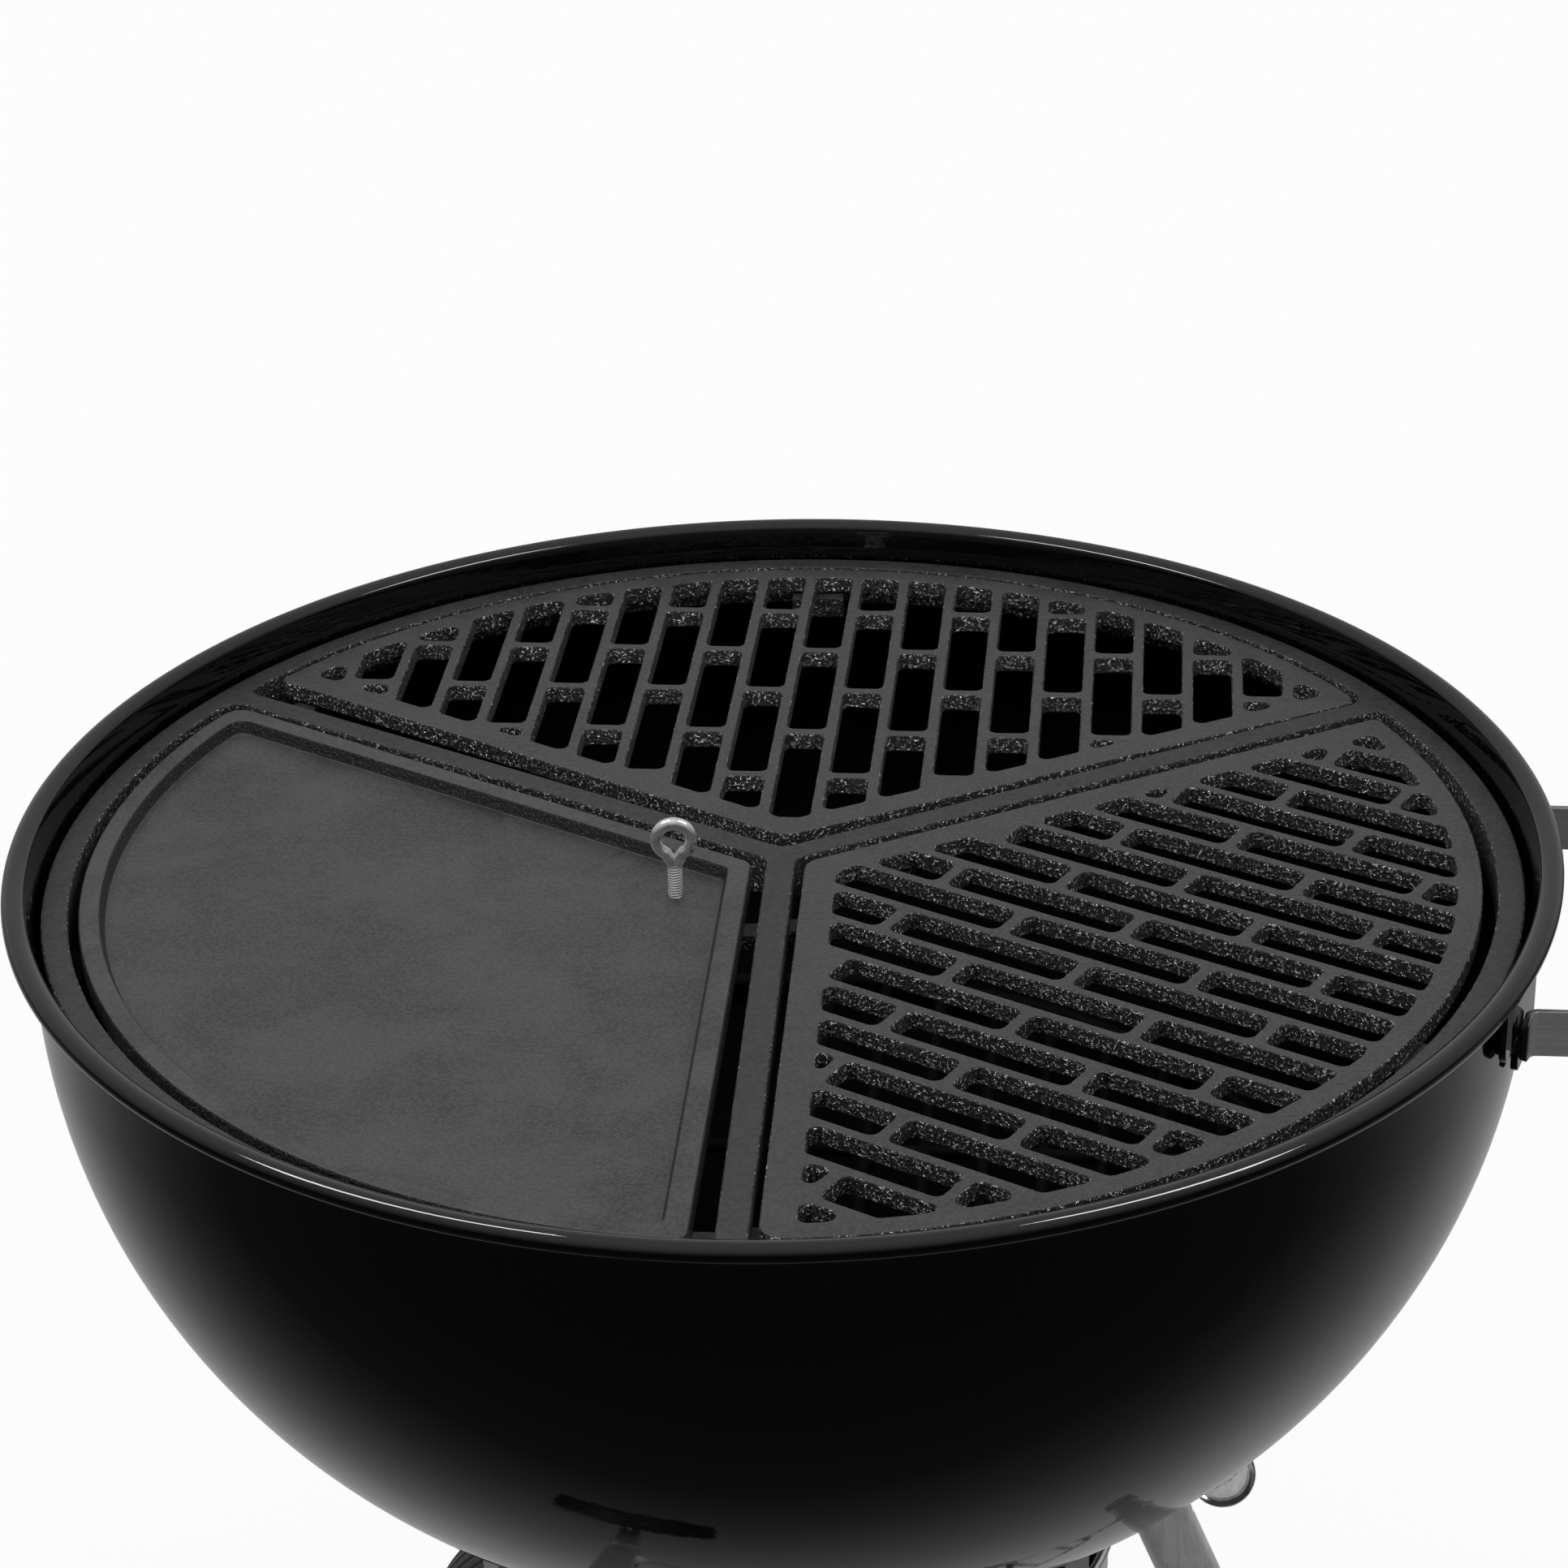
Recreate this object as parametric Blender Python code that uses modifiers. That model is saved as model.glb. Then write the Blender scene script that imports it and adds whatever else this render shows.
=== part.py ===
"""Kettle charcoal grill, 57 cm class, with a three-piece cast iron cooking set, on a tripod with two wheels.

Metres, +Z up. The origin is on the floor, under the middle of the whole object's box. The bowl's axis is
vertical and a little behind it in X, because the one handle stands out at +X. Everything is placed from the
bowl's axis by parenting to the empty grill_axis. Heights that belong to the bowl are given below COOK_Z, the
plane of the cooking surface.
"""

from math import asin, cos, degrees, radians, sin, sqrt, tan

import bmesh
import bpy
from mathutils import Matrix, Vector

GAP = 0.0003  # what touching pieces keep between them

# The bowl: the lower part of a spheroid, with a straight wall and a rolled bead on top.
COOK_Z = 0.690
BOWL_A = 0.2755  # outer radius of the spheroid
BOWL_B = 0.2550  # its half height
BOWL_MID = -0.018  # height of its widest circle from the cooking plane
SHEET = 0.0016
BEAD_R = 0.2809  # radius of the circle that the rolled bead runs round
BEAD = 0.0041  # radius of the bead itself
BEAD_Z = 0.0107
FLOOR_R = 0.105  # inside this the bowl's bottom is flatter than the spheroid
FLOOR_DIP = 0.0083
BOWL_STEPS = 56
VENT_RS = (0.045, 0.090)
VENT_HALF_DEG = 13.0
HUB_HOLE = 0.0056

# The handle at +X.
ARM_Y = 0.078
EAR_AZIMUTH = 17.0
EAR_THICK = 0.0026
EAR_FACE = BOWL_A + 0.0007  # the ear's inner face from the bowl's axis
ARM_REACH = 0.352
ARM_Z = -0.022
ARM_TALL = 0.018
ARM_THICK = 0.0026
ARM_FOOT = 0.0075
BOLT_IN = -0.0110  # the bolt's place on the ear, inward of its middle
GRIP_X = 0.340
GRIP_R = 0.0125
HANDLE_REACH = GRIP_X + GRIP_R

AXIS_X = -(HANDLE_REACH - BEAD_R - BEAD) / 2  # the bowl's axis in the object's frame

# The cast iron set: one carrier with a ring and three spokes, and three loose inserts.
RING_OUT = 0.2718
RING_IN = 0.2620
CARRIER_DEEP = 0.0165
CARRIER_TURN = 1.6  # how far the whole set has been turned in the bowl
SPOKE_HALF = 0.0054
SPOKE_AZIMUTHS = (-90.0, 30.0, 150.0)
INSERT_INSET = 0.0103  # from a spoke's middle line to an insert's edge
INSERT_R = 0.2580
GRATE_THICK = 0.0070
GRIDDLE_THICK = 0.0090
SEATS = {"rear": (0.0, 0.0026), "right": (-118.6, -0.0015), "left": (120.9, 0.0004)}
SLOT_PITCH = 0.01997
SLOT_WIDE = 0.0155
BAR_STEP = 0.03774
BAR_FIRST = 0.0632
BAR_THICK = 0.0050
SLOT_INSET = 0.0224
SLOT_R = 0.2490
SMALLEST_SLOT = 28e-6  # square metres: a smaller leftover is left solid
RECESS_INSET = 0.0189
RECESS_R = 0.2500
RECESS_DEEP = 0.0050
EYE_AT = (-0.0370, -0.0240)
EYE_UP = 0.0230  # the eye's middle over the recess

# The tripod.
LEG_R = 0.0120
LEG_BORE = 0.0105
LEG_SLOPE = tan(radians(22.0))
LEG_REF_R = 0.1488  # the leg's distance from the axis at LEG_REF_Z
LEG_REF_Z = COOK_Z - 0.300
LEG_AZIMUTHS = {"right": 0.0, "front": -120.0, "rear": 120.0}
WHEEL_R = 0.0830
WHEEL_WIDE = 0.0420
WHEEL_IN = 0.2555  # the wheel's inner face, from the middle plane
AXLE_R = 0.0045
RACK_Z = 0.190
TAB_THICK = 0.0022

# Under the bowl.
BUCKET_R = 0.1265
BUCKET_TOP = COOK_Z - 0.2910
BUCKET_TALL = 0.1150
SKIRT_R = 0.1040
LEVER_AZIMUTH = 10.0
LEVER_Z = COOK_Z - 0.2755
LEVER_TURN = 60.0
CHARCOAL_Z = -0.1722
CHARCOAL_R = 0.2125


def clear_scene():
    for obj in list(bpy.data.objects):
        bpy.data.objects.remove(obj, do_unlink=True)


def collection(name):
    made = bpy.data.collections.new(name)
    bpy.context.scene.collection.children.link(made)
    return made


clear_scene()
PARTS = collection("kettle_grill")
HELPERS = collection("cutters")
AXIS = bpy.data.objects.new("grill_axis", None)
AXIS.location = (AXIS_X, 0, 0)
PARTS.objects.link(AXIS)


def material(name, color, roughness, metallic=0.0):
    made = bpy.data.materials.new(name)
    made.use_nodes = True
    shader = made.node_tree.nodes["Principled BSDF"]
    shader.inputs["Base Color"].default_value = (*color, 1)
    shader.inputs["Roughness"].default_value = roughness
    shader.inputs["Metallic"].default_value = metallic
    return made


def paints():
    return {
        "enamel": ((0.010, 0.010, 0.011), 0.12, 0.0),
        "iron": ((0.030, 0.030, 0.031), 0.55, 0.3),
        "aluminium": ((0.62, 0.62, 0.63), 0.35, 1.0),
        "steel": ((0.42, 0.42, 0.43), 0.40, 1.0),
        "zinc": ((0.80, 0.80, 0.80), 0.18, 1.0),
        "plastic": ((0.020, 0.020, 0.021), 0.50, 0.0),
    }


MATERIALS = {name: material(name, *spec) for name, spec in paints().items()}


def place(obj, paint, parent=AXIS):
    """Puts a piece in the grill's collection, on the bowl's axis or on another empty."""
    PARTS.objects.link(obj)
    obj.parent = parent
    obj.data.materials.clear()
    obj.data.materials.append(MATERIALS[paint])
    return obj


def helper(obj):
    HELPERS.objects.link(obj)
    obj.parent = AXIS
    obj.hide_render = True
    obj.display_type = "WIRE"
    return obj


def empty(name, location):
    made = bpy.data.objects.new(name, None)
    made.location = location
    PARTS.objects.link(made)
    made.parent = AXIS
    return made


def turned(name, profile, steps, closed=True, matrix=None):
    """A profile in (radius, height) turned round Z. It runs down its outer side and up its inner side."""
    mesh = bpy.data.meshes.new(name)
    points = [(r, 0, z) for r, z in profile]
    edges = [(i, i + 1) for i in range(len(points) - 1)]
    if closed:
        edges.append((len(points) - 1, 0))
    mesh.from_pydata(points, edges, [])
    obj = bpy.data.objects.new(name, mesh)
    screw = obj.modifiers.new("turn", "SCREW")
    screw.steps = steps
    screw.render_steps = steps
    screw.use_merge_vertices = True
    screw.merge_threshold = 1e-6
    screw.use_smooth_shade = True
    if matrix is not None:
        obj.matrix_local = matrix
    return obj


def outline_curve(name, loops, thick):
    """A flat outline with its holes, as a curve that is as thick as asked, middle plane at z = 0."""
    curve = bpy.data.curves.new(name, "CURVE")
    curve.dimensions = "2D"
    curve.fill_mode = "BOTH"
    curve.extrude = thick / 2
    for loop in loops:
        spline = curve.splines.new("POLY")
        spline.points.add(len(loop) - 1)
        for point, (x, y) in zip(spline.points, loop):
            point.co = (x, y, 0, 1)
        spline.use_cyclic_u = True
    return bpy.data.objects.new(name, curve)


def plate(name, loops, low, high, matrix=None):
    """The same, as a closed mesh between two heights, or in a frame of its own."""
    guide = outline_curve(name + "_outline", loops, high - low)
    HELPERS.objects.link(guide)
    bpy.context.view_layer.update()
    graph = bpy.context.evaluated_depsgraph_get()
    mesh = bpy.data.meshes.new_from_object(guide.evaluated_get(graph))
    bpy.data.objects.remove(guide, do_unlink=True)
    mesh.transform(Matrix.Translation((0, 0, (low + high) / 2)))
    shape = bmesh.new()
    shape.from_mesh(mesh)
    bmesh.ops.remove_doubles(shape, verts=shape.verts, dist=1e-6)
    bmesh.ops.recalc_face_normals(shape, faces=shape.faces)
    shape.to_mesh(mesh)
    shape.free()
    obj = bpy.data.objects.new(name, mesh)
    if matrix is not None:
        obj.matrix_local = matrix
    return obj


def box(name, size, matrix):
    mesh = bpy.data.meshes.new(name)
    shape = bmesh.new()
    bmesh.ops.create_cube(shape, size=1.0, matrix=Matrix.Diagonal((*size, 1)))
    shape.to_mesh(mesh)
    shape.free()
    obj = bpy.data.objects.new(name, mesh)
    obj.matrix_local = matrix
    return obj


def along(start, end):
    """A frame whose origin is start and whose Z runs to end."""
    start = Vector(start)
    direction = Vector(end) - start
    return Matrix.Translation(start) @ direction.to_track_quat("Z", "Y").to_matrix().to_4x4()


def rod(name, start, end, radius, segments=16):
    length = (Vector(end) - Vector(start)).length
    mesh = bpy.data.meshes.new(name)
    shape = bmesh.new()
    bmesh.ops.create_cone(
        shape,
        cap_ends=True,
        segments=segments,
        radius1=radius,
        radius2=radius,
        depth=length,
        matrix=Matrix.Translation((0, 0, length / 2)),
    )
    shape.to_mesh(mesh)
    shape.free()
    obj = bpy.data.objects.new(name, mesh)
    obj.matrix_local = along(start, end)
    return obj


def wire(name, points, radius, closed=False, resolution=2):
    """A bent wire as a closed mesh, so that it can be joined."""
    curve = bpy.data.curves.new(name, "CURVE")
    curve.dimensions = "3D"
    curve.bevel_depth = radius
    curve.bevel_resolution = resolution
    curve.use_fill_caps = not closed
    spline = curve.splines.new("POLY")
    spline.points.add(len(points) - 1)
    for point, co in zip(spline.points, points):
        point.co = (*co, 1)
    spline.use_cyclic_u = closed
    guide = bpy.data.objects.new(name + "_wire", curve)
    HELPERS.objects.link(guide)
    bpy.context.view_layer.update()
    graph = bpy.context.evaluated_depsgraph_get()
    mesh = bpy.data.meshes.new_from_object(guide.evaluated_get(graph))
    bpy.data.objects.remove(guide, do_unlink=True)
    shape = bmesh.new()
    shape.from_mesh(mesh)
    bmesh.ops.remove_doubles(shape, verts=shape.verts, dist=1e-6)
    bmesh.ops.recalc_face_normals(shape, faces=shape.faces)
    shape.to_mesh(mesh)
    shape.free()
    return bpy.data.objects.new(name, mesh)


def boolean(obj, other, operation):
    modifier = obj.modifiers.new(operation.lower(), "BOOLEAN")
    modifier.operation = operation
    modifier.solver = "EXACT"
    modifier.object = helper(other)
    return obj


def cut(obj, *others):
    for other in others:
        boolean(obj, other, "DIFFERENCE")
    return obj


def join(obj, *others):
    for other in others:
        boolean(obj, other, "UNION")
    return obj


def turn_z(angle):
    return Matrix.Rotation(radians(angle), 4, "Z")


def polar(radius, angle, z=None):
    x, y = radius * cos(radians(angle)), radius * sin(radians(angle))
    return Vector((x, y)) if z is None else Vector((x, y, z))


def arc(centre, radius, first, last, steps):
    angles = [radians(first + (last - first) * i / steps) for i in range(steps + 1)]
    return [(centre[0] + radius * cos(a), centre[1] + radius * sin(a)) for a in angles]


def circle(radius, steps, centre=(0, 0)):
    return arc(centre, radius, 0, 360, steps)[:-1]


def rounded(loop, radii, steps=3):
    """A convex loop with each corner rounded, by its own radius or one for all. Radius 0 keeps a corner."""
    made = []
    count = len(loop)
    for i in range(count):
        radius = radii[i] if isinstance(radii, (list, tuple)) else radii
        before, here, after = (Vector(loop[(i + k) % count]) for k in (-1, 0, 1))
        to_before, to_after = before - here, after - here
        half = to_before.angle(to_after) / 2
        room = 0.49 * min(to_before.length, to_after.length)
        if radius <= 0 or half > radians(88):
            made.append(tuple(here))
            continue
        back = min(radius / tan(half), room)
        first = here + to_before.normalized() * back
        last = here + to_after.normalized() * back
        centre = here + (to_before.normalized() + to_after.normalized()).normalized() * (back / cos(half))
        begin, end = first - centre, last - centre
        sweep = begin.angle_signed(end)
        for k in range(steps + 1):
            angle = -sweep * k / steps
            turned_by = Matrix.Rotation(angle, 2)
            made.append(tuple(centre + turned_by @ begin))
    return made


def clipped(loop, point, inward):
    """The part of a loop on the inward side of a line through a point (one step of Sutherland-Hodgman)."""
    made = []
    for i, here in enumerate(loop):
        before = loop[i - 1]
        here_in = (Vector(here) - Vector(point)).dot(inward)
        before_in = (Vector(before) - Vector(point)).dot(inward)
        if here_in * before_in < 0:
            share = before_in / (before_in - here_in)
            made.append(tuple(Vector(before).lerp(Vector(here), share)))
        if here_in >= 0:
            made.append(here)
    return made


def area(loop):
    pairs = zip(loop, loop[1:] + loop[:1])
    return abs(sum(a[0] * b[1] - b[0] * a[1] for a, b in pairs)) / 2


# ---------------------------------------------------------------- the bowl


def spheroid_z(radius, inset=0.0):
    """Height, from the cooking plane, of the bowl's surface below its widest circle."""
    a, b = BOWL_A - inset, BOWL_B - inset
    return BOWL_MID - b * sqrt(1 - (radius / a) ** 2)


def bowl_z(radius, inset=0.0):
    """The same with the flatter bottom."""
    if radius >= FLOOR_R:
        return spheroid_z(radius, inset)
    share = 1 - (radius / FLOOR_R) ** 2
    return spheroid_z(FLOOR_R, inset) - FLOOR_DIP * share


def bowl_side(grow):
    """The bowl's wall from its straight top to its flatter bottom, moved out by grow."""
    a, b = BOWL_A + grow, BOWL_B + grow
    slopes = [0, 5, 14, 25, 36, 47, 57, 66]
    return [(a * cos(radians(t)), BOWL_MID - b * sin(radians(t))) for t in slopes]


def bowl_profile():
    """Down the outside from the bead, in to the hub hole, and up the inside."""
    bead = arc((BEAD_R, BEAD_Z), BEAD, 90, -90, 5)
    lip = [(BOWL_A + 0.0006, BEAD_Z - BEAD - 0.0002)]
    radii = (0.100, 0.065, 0.030, HUB_HOLE)
    outer = [(BOWL_A, 0.001)] + bowl_side(0.0) + [(r, bowl_z(r)) for r in radii]
    inner = [(BOWL_A - SHEET, 0.001)] + bowl_side(-SHEET) + [(r, bowl_z(r, SHEET)) for r in radii]
    return bead + lip + outer + inner[::-1] + [(BOWL_A - 0.0006, BEAD_Z)]


def vent_cutter(index):
    """A rounded sector hole through the bowl's bottom."""
    low, high = VENT_RS
    half = VENT_HALF_DEG
    loop = arc((0, 0), high, -half, half, 3) + arc((0, 0), low, half * 1.3, -half * 1.3, 2)
    return plate(f"vent_cutter_{index}", [loop], COOK_Z - 0.30, COOK_Z - 0.22, turn_z(60 + 120 * index))


def bowl():
    obj = turned("bowl", bowl_profile(), BOWL_STEPS, matrix=Matrix.Translation((0, 0, COOK_Z)))
    cut(obj, *[vent_cutter(i) for i in range(3)])
    return place(obj, "enamel")


def bowl_solid(name):
    """The bowl's outside as a solid, a gap larger, for trimming what is welded to it."""
    side = bowl_side(2 * GAP) + [(0.100, bowl_z(0.100) - 2 * GAP)]
    top, low = side[0], side[-1]
    profile = [(0.0, top[1] + 0.02), (top[0], top[1] + 0.02)] + side + [(0.0, low[1])]
    return turned(name, profile, BOWL_STEPS, closed=False, matrix=Matrix.Translation((0, 0, COOK_Z)))


def cooking_ledges():
    """Four bent tabs welded inside the wall, which the carrier rests on."""
    top = COOK_Z - CARRIER_DEEP - GAP
    wall = BOWL_A - SHEET - 0.0024
    for index in range(4):
        side = [
            (wall - 0.0130, 0),
            (wall, 0),
            (wall, -0.0180),
            (wall - 0.0020, -0.0180),
            (wall - 0.0020, -0.0020),
            (wall - 0.0130, -0.0020),
        ]
        upright = Matrix.Rotation(radians(90), 4, "X")
        frame = Matrix.Translation((0, 0, top)) @ turn_z(15 + 90 * index) @ upright
        place(plate(f"cooking_ledge_{index + 1}", [side], -0.011, 0.011, frame), "steel")


# ---------------------------------------------------------------- the cast iron set


def sector(inset, radius, steps):
    """A third of a disc about +Y, its straight edges moved in by inset. It starts at the inner corner."""
    first = 30 + degrees(asin(inset / radius))
    return [(0.0, inset / sin(radians(60)))] + arc((0, 0), radius, first, 180 - first, steps)


def rounded_sector(inset, radius, steps, inner_round, outer_round):
    loop = sector(inset, radius, steps)
    radii = [inner_round, outer_round] + [0.0] * (steps - 1) + [outer_round]
    return rounded(loop, radii)


def slot_loops():
    """Upright slots in a running bond, cut back where they meet the insert's border."""
    limit = sector(SLOT_INSET, SLOT_R, 16)
    sides = [(limit[i], limit[(i + 1) % len(limit)]) for i in range(len(limit))]
    loops = []
    for column in range(-11, 12):
        middle = column * SLOT_PITCH
        phase = 1 if column % 2 == 0 else 0
        for bar in range(phase - 4, 8, 2):
            low = BAR_FIRST + bar * BAR_STEP + BAR_THICK / 2
            high = low + 2 * BAR_STEP - BAR_THICK
            left, right = middle - SLOT_WIDE / 2, middle + SLOT_WIDE / 2
            loop = [(left, low), (right, low), (right, high), (left, high)]
            for start, end in sides:
                run = Vector(end) - Vector(start)
                inward = Vector((-run.y, run.x))
                loop = clipped(loop, start, inward)
            loop = merged(loop)
            if len(loop) > 2 and area(loop) > SMALLEST_SLOT:
                loops.append(loop)
    return loops


def merged(loop):
    """Without points closer than 1.5 mm to the one before."""
    made = []
    for point in loop:
        if not made or (Vector(point) - Vector(made[-1])).length > 0.0015:
            made.append(point)
    if len(made) > 1 and (Vector(made[0]) - Vector(made[-1])).length <= 0.0015:
        made.pop()
    return made


def seat(insert):
    """Where an insert sits: turned about the axis, and pushed in or out by its own play."""
    turn, out = SEATS[insert]
    return Matrix.Translation((0, 0, COOK_Z)) @ turn_z(turn) @ Matrix.Translation((0, out, 0))


def slot_grate(name, insert):
    outer = rounded_sector(INSERT_INSET, INSERT_R, 20, 0.009, 0.008)
    grate = plate(name, [outer] + slot_loops(), -GRATE_THICK, 0.0, seat(insert))
    return place(grate, "iron")


def griddle():
    outer = rounded_sector(INSERT_INSET, INSERT_R, 20, 0.006, 0.008)
    recess = rounded_sector(RECESS_INSET, RECESS_R, 19, 0.004, 0.006)
    obj = plate("griddle_plate", [outer], -GRIDDLE_THICK, 0.0, seat("left"))
    pocket = plate("griddle_pocket", [recess], -RECESS_DEEP, 0.01, seat("left"))
    low, high = (*EYE_AT, COOK_Z - 0.02), (*EYE_AT, COOK_Z + 0.01)
    cut(obj, pocket, rod("griddle_bore", low, high, 0.0034, 16))
    return place(obj, "iron")


def lug(name, radius, size, azimuth, side, thick):
    """A block under one side of a spoke, or under the ring, that an insert of this thickness rests on."""
    top, low = -thick - GAP, -CARRIER_DEEP + 0.0004
    middle = Matrix.Translation((radius, side * size[1] / 2, COOK_Z + (top + low) / 2))
    return box(name, (*size, top - low), turn_z(azimuth + CARRIER_TURN) @ middle)


def carrier():
    """Ring, three spokes meeting in the middle, and the lugs under them that the inserts rest on."""
    ring = [
        (RING_OUT, 0.0),
        (RING_OUT, -CARRIER_DEEP),
        (RING_IN, -CARRIER_DEEP),
        (RING_IN, 0.0),
    ]
    obj = turned("grate_carrier", ring, BOWL_STEPS, matrix=Matrix.Translation((0, 0, COOK_Z)))
    arms = []
    reach = RING_IN + 0.004
    for azimuth in SPOKE_AZIMUTHS:
        low, high = COOK_Z - CARRIER_DEEP + 0.0002, COOK_Z - 0.0002
        frame = Matrix.Translation((reach / 2, 0, (low + high) / 2))
        size = (reach, SPOKE_HALF * 2, high - low)
        arms.append(box(f"spoke_{azimuth:.0f}", size, turn_z(azimuth + CARRIER_TURN) @ frame))
        for side in (-1, 1):
            # The griddle's third runs from the spoke at 150 degrees on to the one at -90.
            griddle_side = (azimuth, side) in ((150.0, 1), (-90.0, -1))
            thick = GRIDDLE_THICK if griddle_side else GRATE_THICK
            arms.append(lug(f"lug_hub_{azimuth:.0f}_{side}", 0.041, (0.010, 0.020), azimuth, side, thick))
            arms.append(lug(f"lug_rim_{azimuth:.0f}_{side}", 0.244, (0.010, 0.020), azimuth, side, thick))
        thick = GRIDDLE_THICK if azimuth == 150.0 else GRATE_THICK
        arms.append(lug(f"lug_arc_{azimuth:.0f}", 0.256, (0.020, 0.022), azimuth + 60, 0, thick))
    join(obj, *arms)
    return place(obj, "iron")


def eye_bolt():
    """A wire eye on a threaded shank, which lifts the griddle out."""
    wire_r, eye_r = 0.0024, 0.0064
    foot = Vector((*EYE_AT, COOK_Z - GRIDDLE_THICK + 0.0005))
    middle = Vector((*EYE_AT, COOK_Z - RECESS_DEEP + EYE_UP))
    across, up = Vector((0.995, 0.10, 0.0)), Vector((0, 0, 1))
    turns = [radians(18 * i - 90) for i in range(20)]
    loop = [middle + (across * cos(t) + up * sin(t)) * eye_r for t in turns]
    obj = wire("eye_bolt", loop, wire_r, closed=True)
    shank = rod("eye_shank", foot, middle - up * eye_r, 0.0029, 14)
    return place(join(obj, shank), "zinc")


def charcoal_grate():
    """A round grate of parallel rods, low in the bowl."""
    outer = circle(CHARCOAL_R, 40)
    spacing, rod_wide, rim_wide = 0.0240, 0.0060, 0.0070
    limit = circle(CHARCOAL_R - rim_wide, 40)
    loops = [outer]
    for index in range(-9, 10):
        left = (index - 0.5) * spacing + rod_wide / 2
        right = (index + 0.5) * spacing - rod_wide / 2
        for low, high in ((-0.3, -0.073), (-0.067, 0.067), (0.073, 0.3)):
            loop = [(left, low), (right, low), (right, high), (left, high)]
            for i, start in enumerate(limit):
                run = Vector(limit[(i + 1) % len(limit)]) - Vector(start)
                loop = clipped(loop, start, Vector((-run.y, run.x)))
            loop = merged(loop)
            if len(loop) > 2 and area(loop) > SMALLEST_SLOT:
                loops.append(loop)
    z = COOK_Z + CHARCOAL_Z
    return place(plate("charcoal_grate", loops, z - 0.003, z + 0.003), "steel")


# ---------------------------------------------------------------- the tripod


def leg_radius(z):
    return LEG_REF_R + (LEG_REF_Z - z) * LEG_SLOPE


def leg_point(azimuth, z):
    return polar(leg_radius(z), azimuth, z)


def leg_frame(azimuth, z_top, z_low):
    """Origin at the upper end, Z down along the leg."""
    return along(leg_point(azimuth, z_top), leg_point(azimuth, z_low))


def leg_length(z_top, z_low):
    return (z_top - z_low) * sqrt(1 + LEG_SLOPE**2)


def sleeve(name, bore, outer_top, outer_low, length, frame, steps=20):
    """A tube whose outside may taper, from its frame's origin down its Z."""
    profile = [(outer_low, length), (outer_top, 0.0), (bore, 0.0), (bore, length)]
    return turned(name, profile, steps, matrix=frame)


def tripod():
    top = COOK_Z - 0.262
    for side, azimuth in LEG_AZIMUTHS.items():
        low = 0.022 if side == "right" else 0.060
        length = leg_length(top, low)
        frame = leg_frame(azimuth, top, low)
        leg = sleeve(f"leg_{side}", LEG_BORE, LEG_R, LEG_R, length, frame)
        if side != "right":
            at = leg_point(azimuth, WHEEL_R)
            cutter = rod(
                f"axle_bore_{side}",
                at - Vector((0, 0.03, 0)),
                at + Vector((0, 0.03, 0)),
                AXLE_R + 0.0004,
            )
            cut(leg, cutter)
        place(leg, "aluminium")
        start, end = COOK_Z - 0.222, COOK_Z - 0.268
        frame = leg_frame(azimuth, start, end)
        socket = sleeve(
            f"leg_socket_{side}", LEG_R + 0.0004, 0.0195, 0.0152, leg_length(start, end), frame
        )
        cut(socket, bowl_solid(f"bowl_trim_{side}"))
        place(socket, "enamel")
    foot_cap()


def foot_cap():
    """The plug on the one leg without a wheel, cut flat where it stands."""
    top, low = 0.058, -0.010
    length = leg_length(top, low)
    bore, depth = LEG_R + GAP, leg_length(top, 0.022 - GAP)
    profile = [(0.0, length), (0.0150, length), (0.0150, 0.0), (bore, 0.0), (bore, depth), (0.0, depth)]
    obj = turned("foot_cap", profile, 24, closed=False, matrix=leg_frame(0, top, low))
    at = leg_point(0, -0.05)
    ground = box("ground_trim", (0.2, 0.2, 0.1), Matrix.Translation((at.x, at.y, -0.05)))
    return place(cut(obj, ground), "plastic")


def wheels():
    at = leg_point(LEG_AZIMUTHS["front"], WHEEL_R)
    centre = empty("axle_line", (at.x, 0, WHEEL_R))
    reach = WHEEL_IN + WHEEL_WIDE - 0.004
    place(rod("axle", (0, -reach, 0), (0, reach, 0), AXLE_R, 14), "steel", centre)
    tyre = [
        (WHEEL_R - 0.006, WHEEL_WIDE),
        (WHEEL_R - 0.0015, WHEEL_WIDE - 0.004),
        (WHEEL_R, WHEEL_WIDE / 2),
        (WHEEL_R - 0.0015, 0.004),
        (WHEEL_R - 0.006, 0.0),
        (0.064, 0.0),
        (0.062, 0.016),
        (0.022, 0.013),
        (0.018, 0.0),
        (AXLE_R + 0.0004, 0.0),
        (AXLE_R + 0.0004, WHEEL_WIDE - 0.004),
        (0.018, WHEEL_WIDE - 0.004),
        (0.022, WHEEL_WIDE - 0.013),
        (0.062, WHEEL_WIDE - 0.016),
        (0.064, WHEEL_WIDE),
    ]
    for side, sign in (("front", -1), ("rear", 1)):
        outward = Matrix.Rotation(radians(-90 * sign), 4, "X")
        frame = Matrix.Translation((0, sign * WHEEL_IN, 0)) @ outward
        place(turned(f"wheel_{side}", tyre, 40, matrix=frame), "plastic", centre)
        frame = Matrix.Translation((0, sign * (WHEEL_IN + WHEEL_WIDE - 0.004 + GAP), 0)) @ outward
        place(axle_cap(side, frame), "steel", centre)


def axle_cap(side, frame):
    """A push-on cap that keeps a wheel on the axle's end."""
    profile = [(0.0, 0.0045), (0.0070, 0.0040), (0.0115, 0.0), (0.0, 0.0)]
    return turned(f"axle_cap_{side}", profile, 20, closed=False, matrix=frame)


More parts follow.
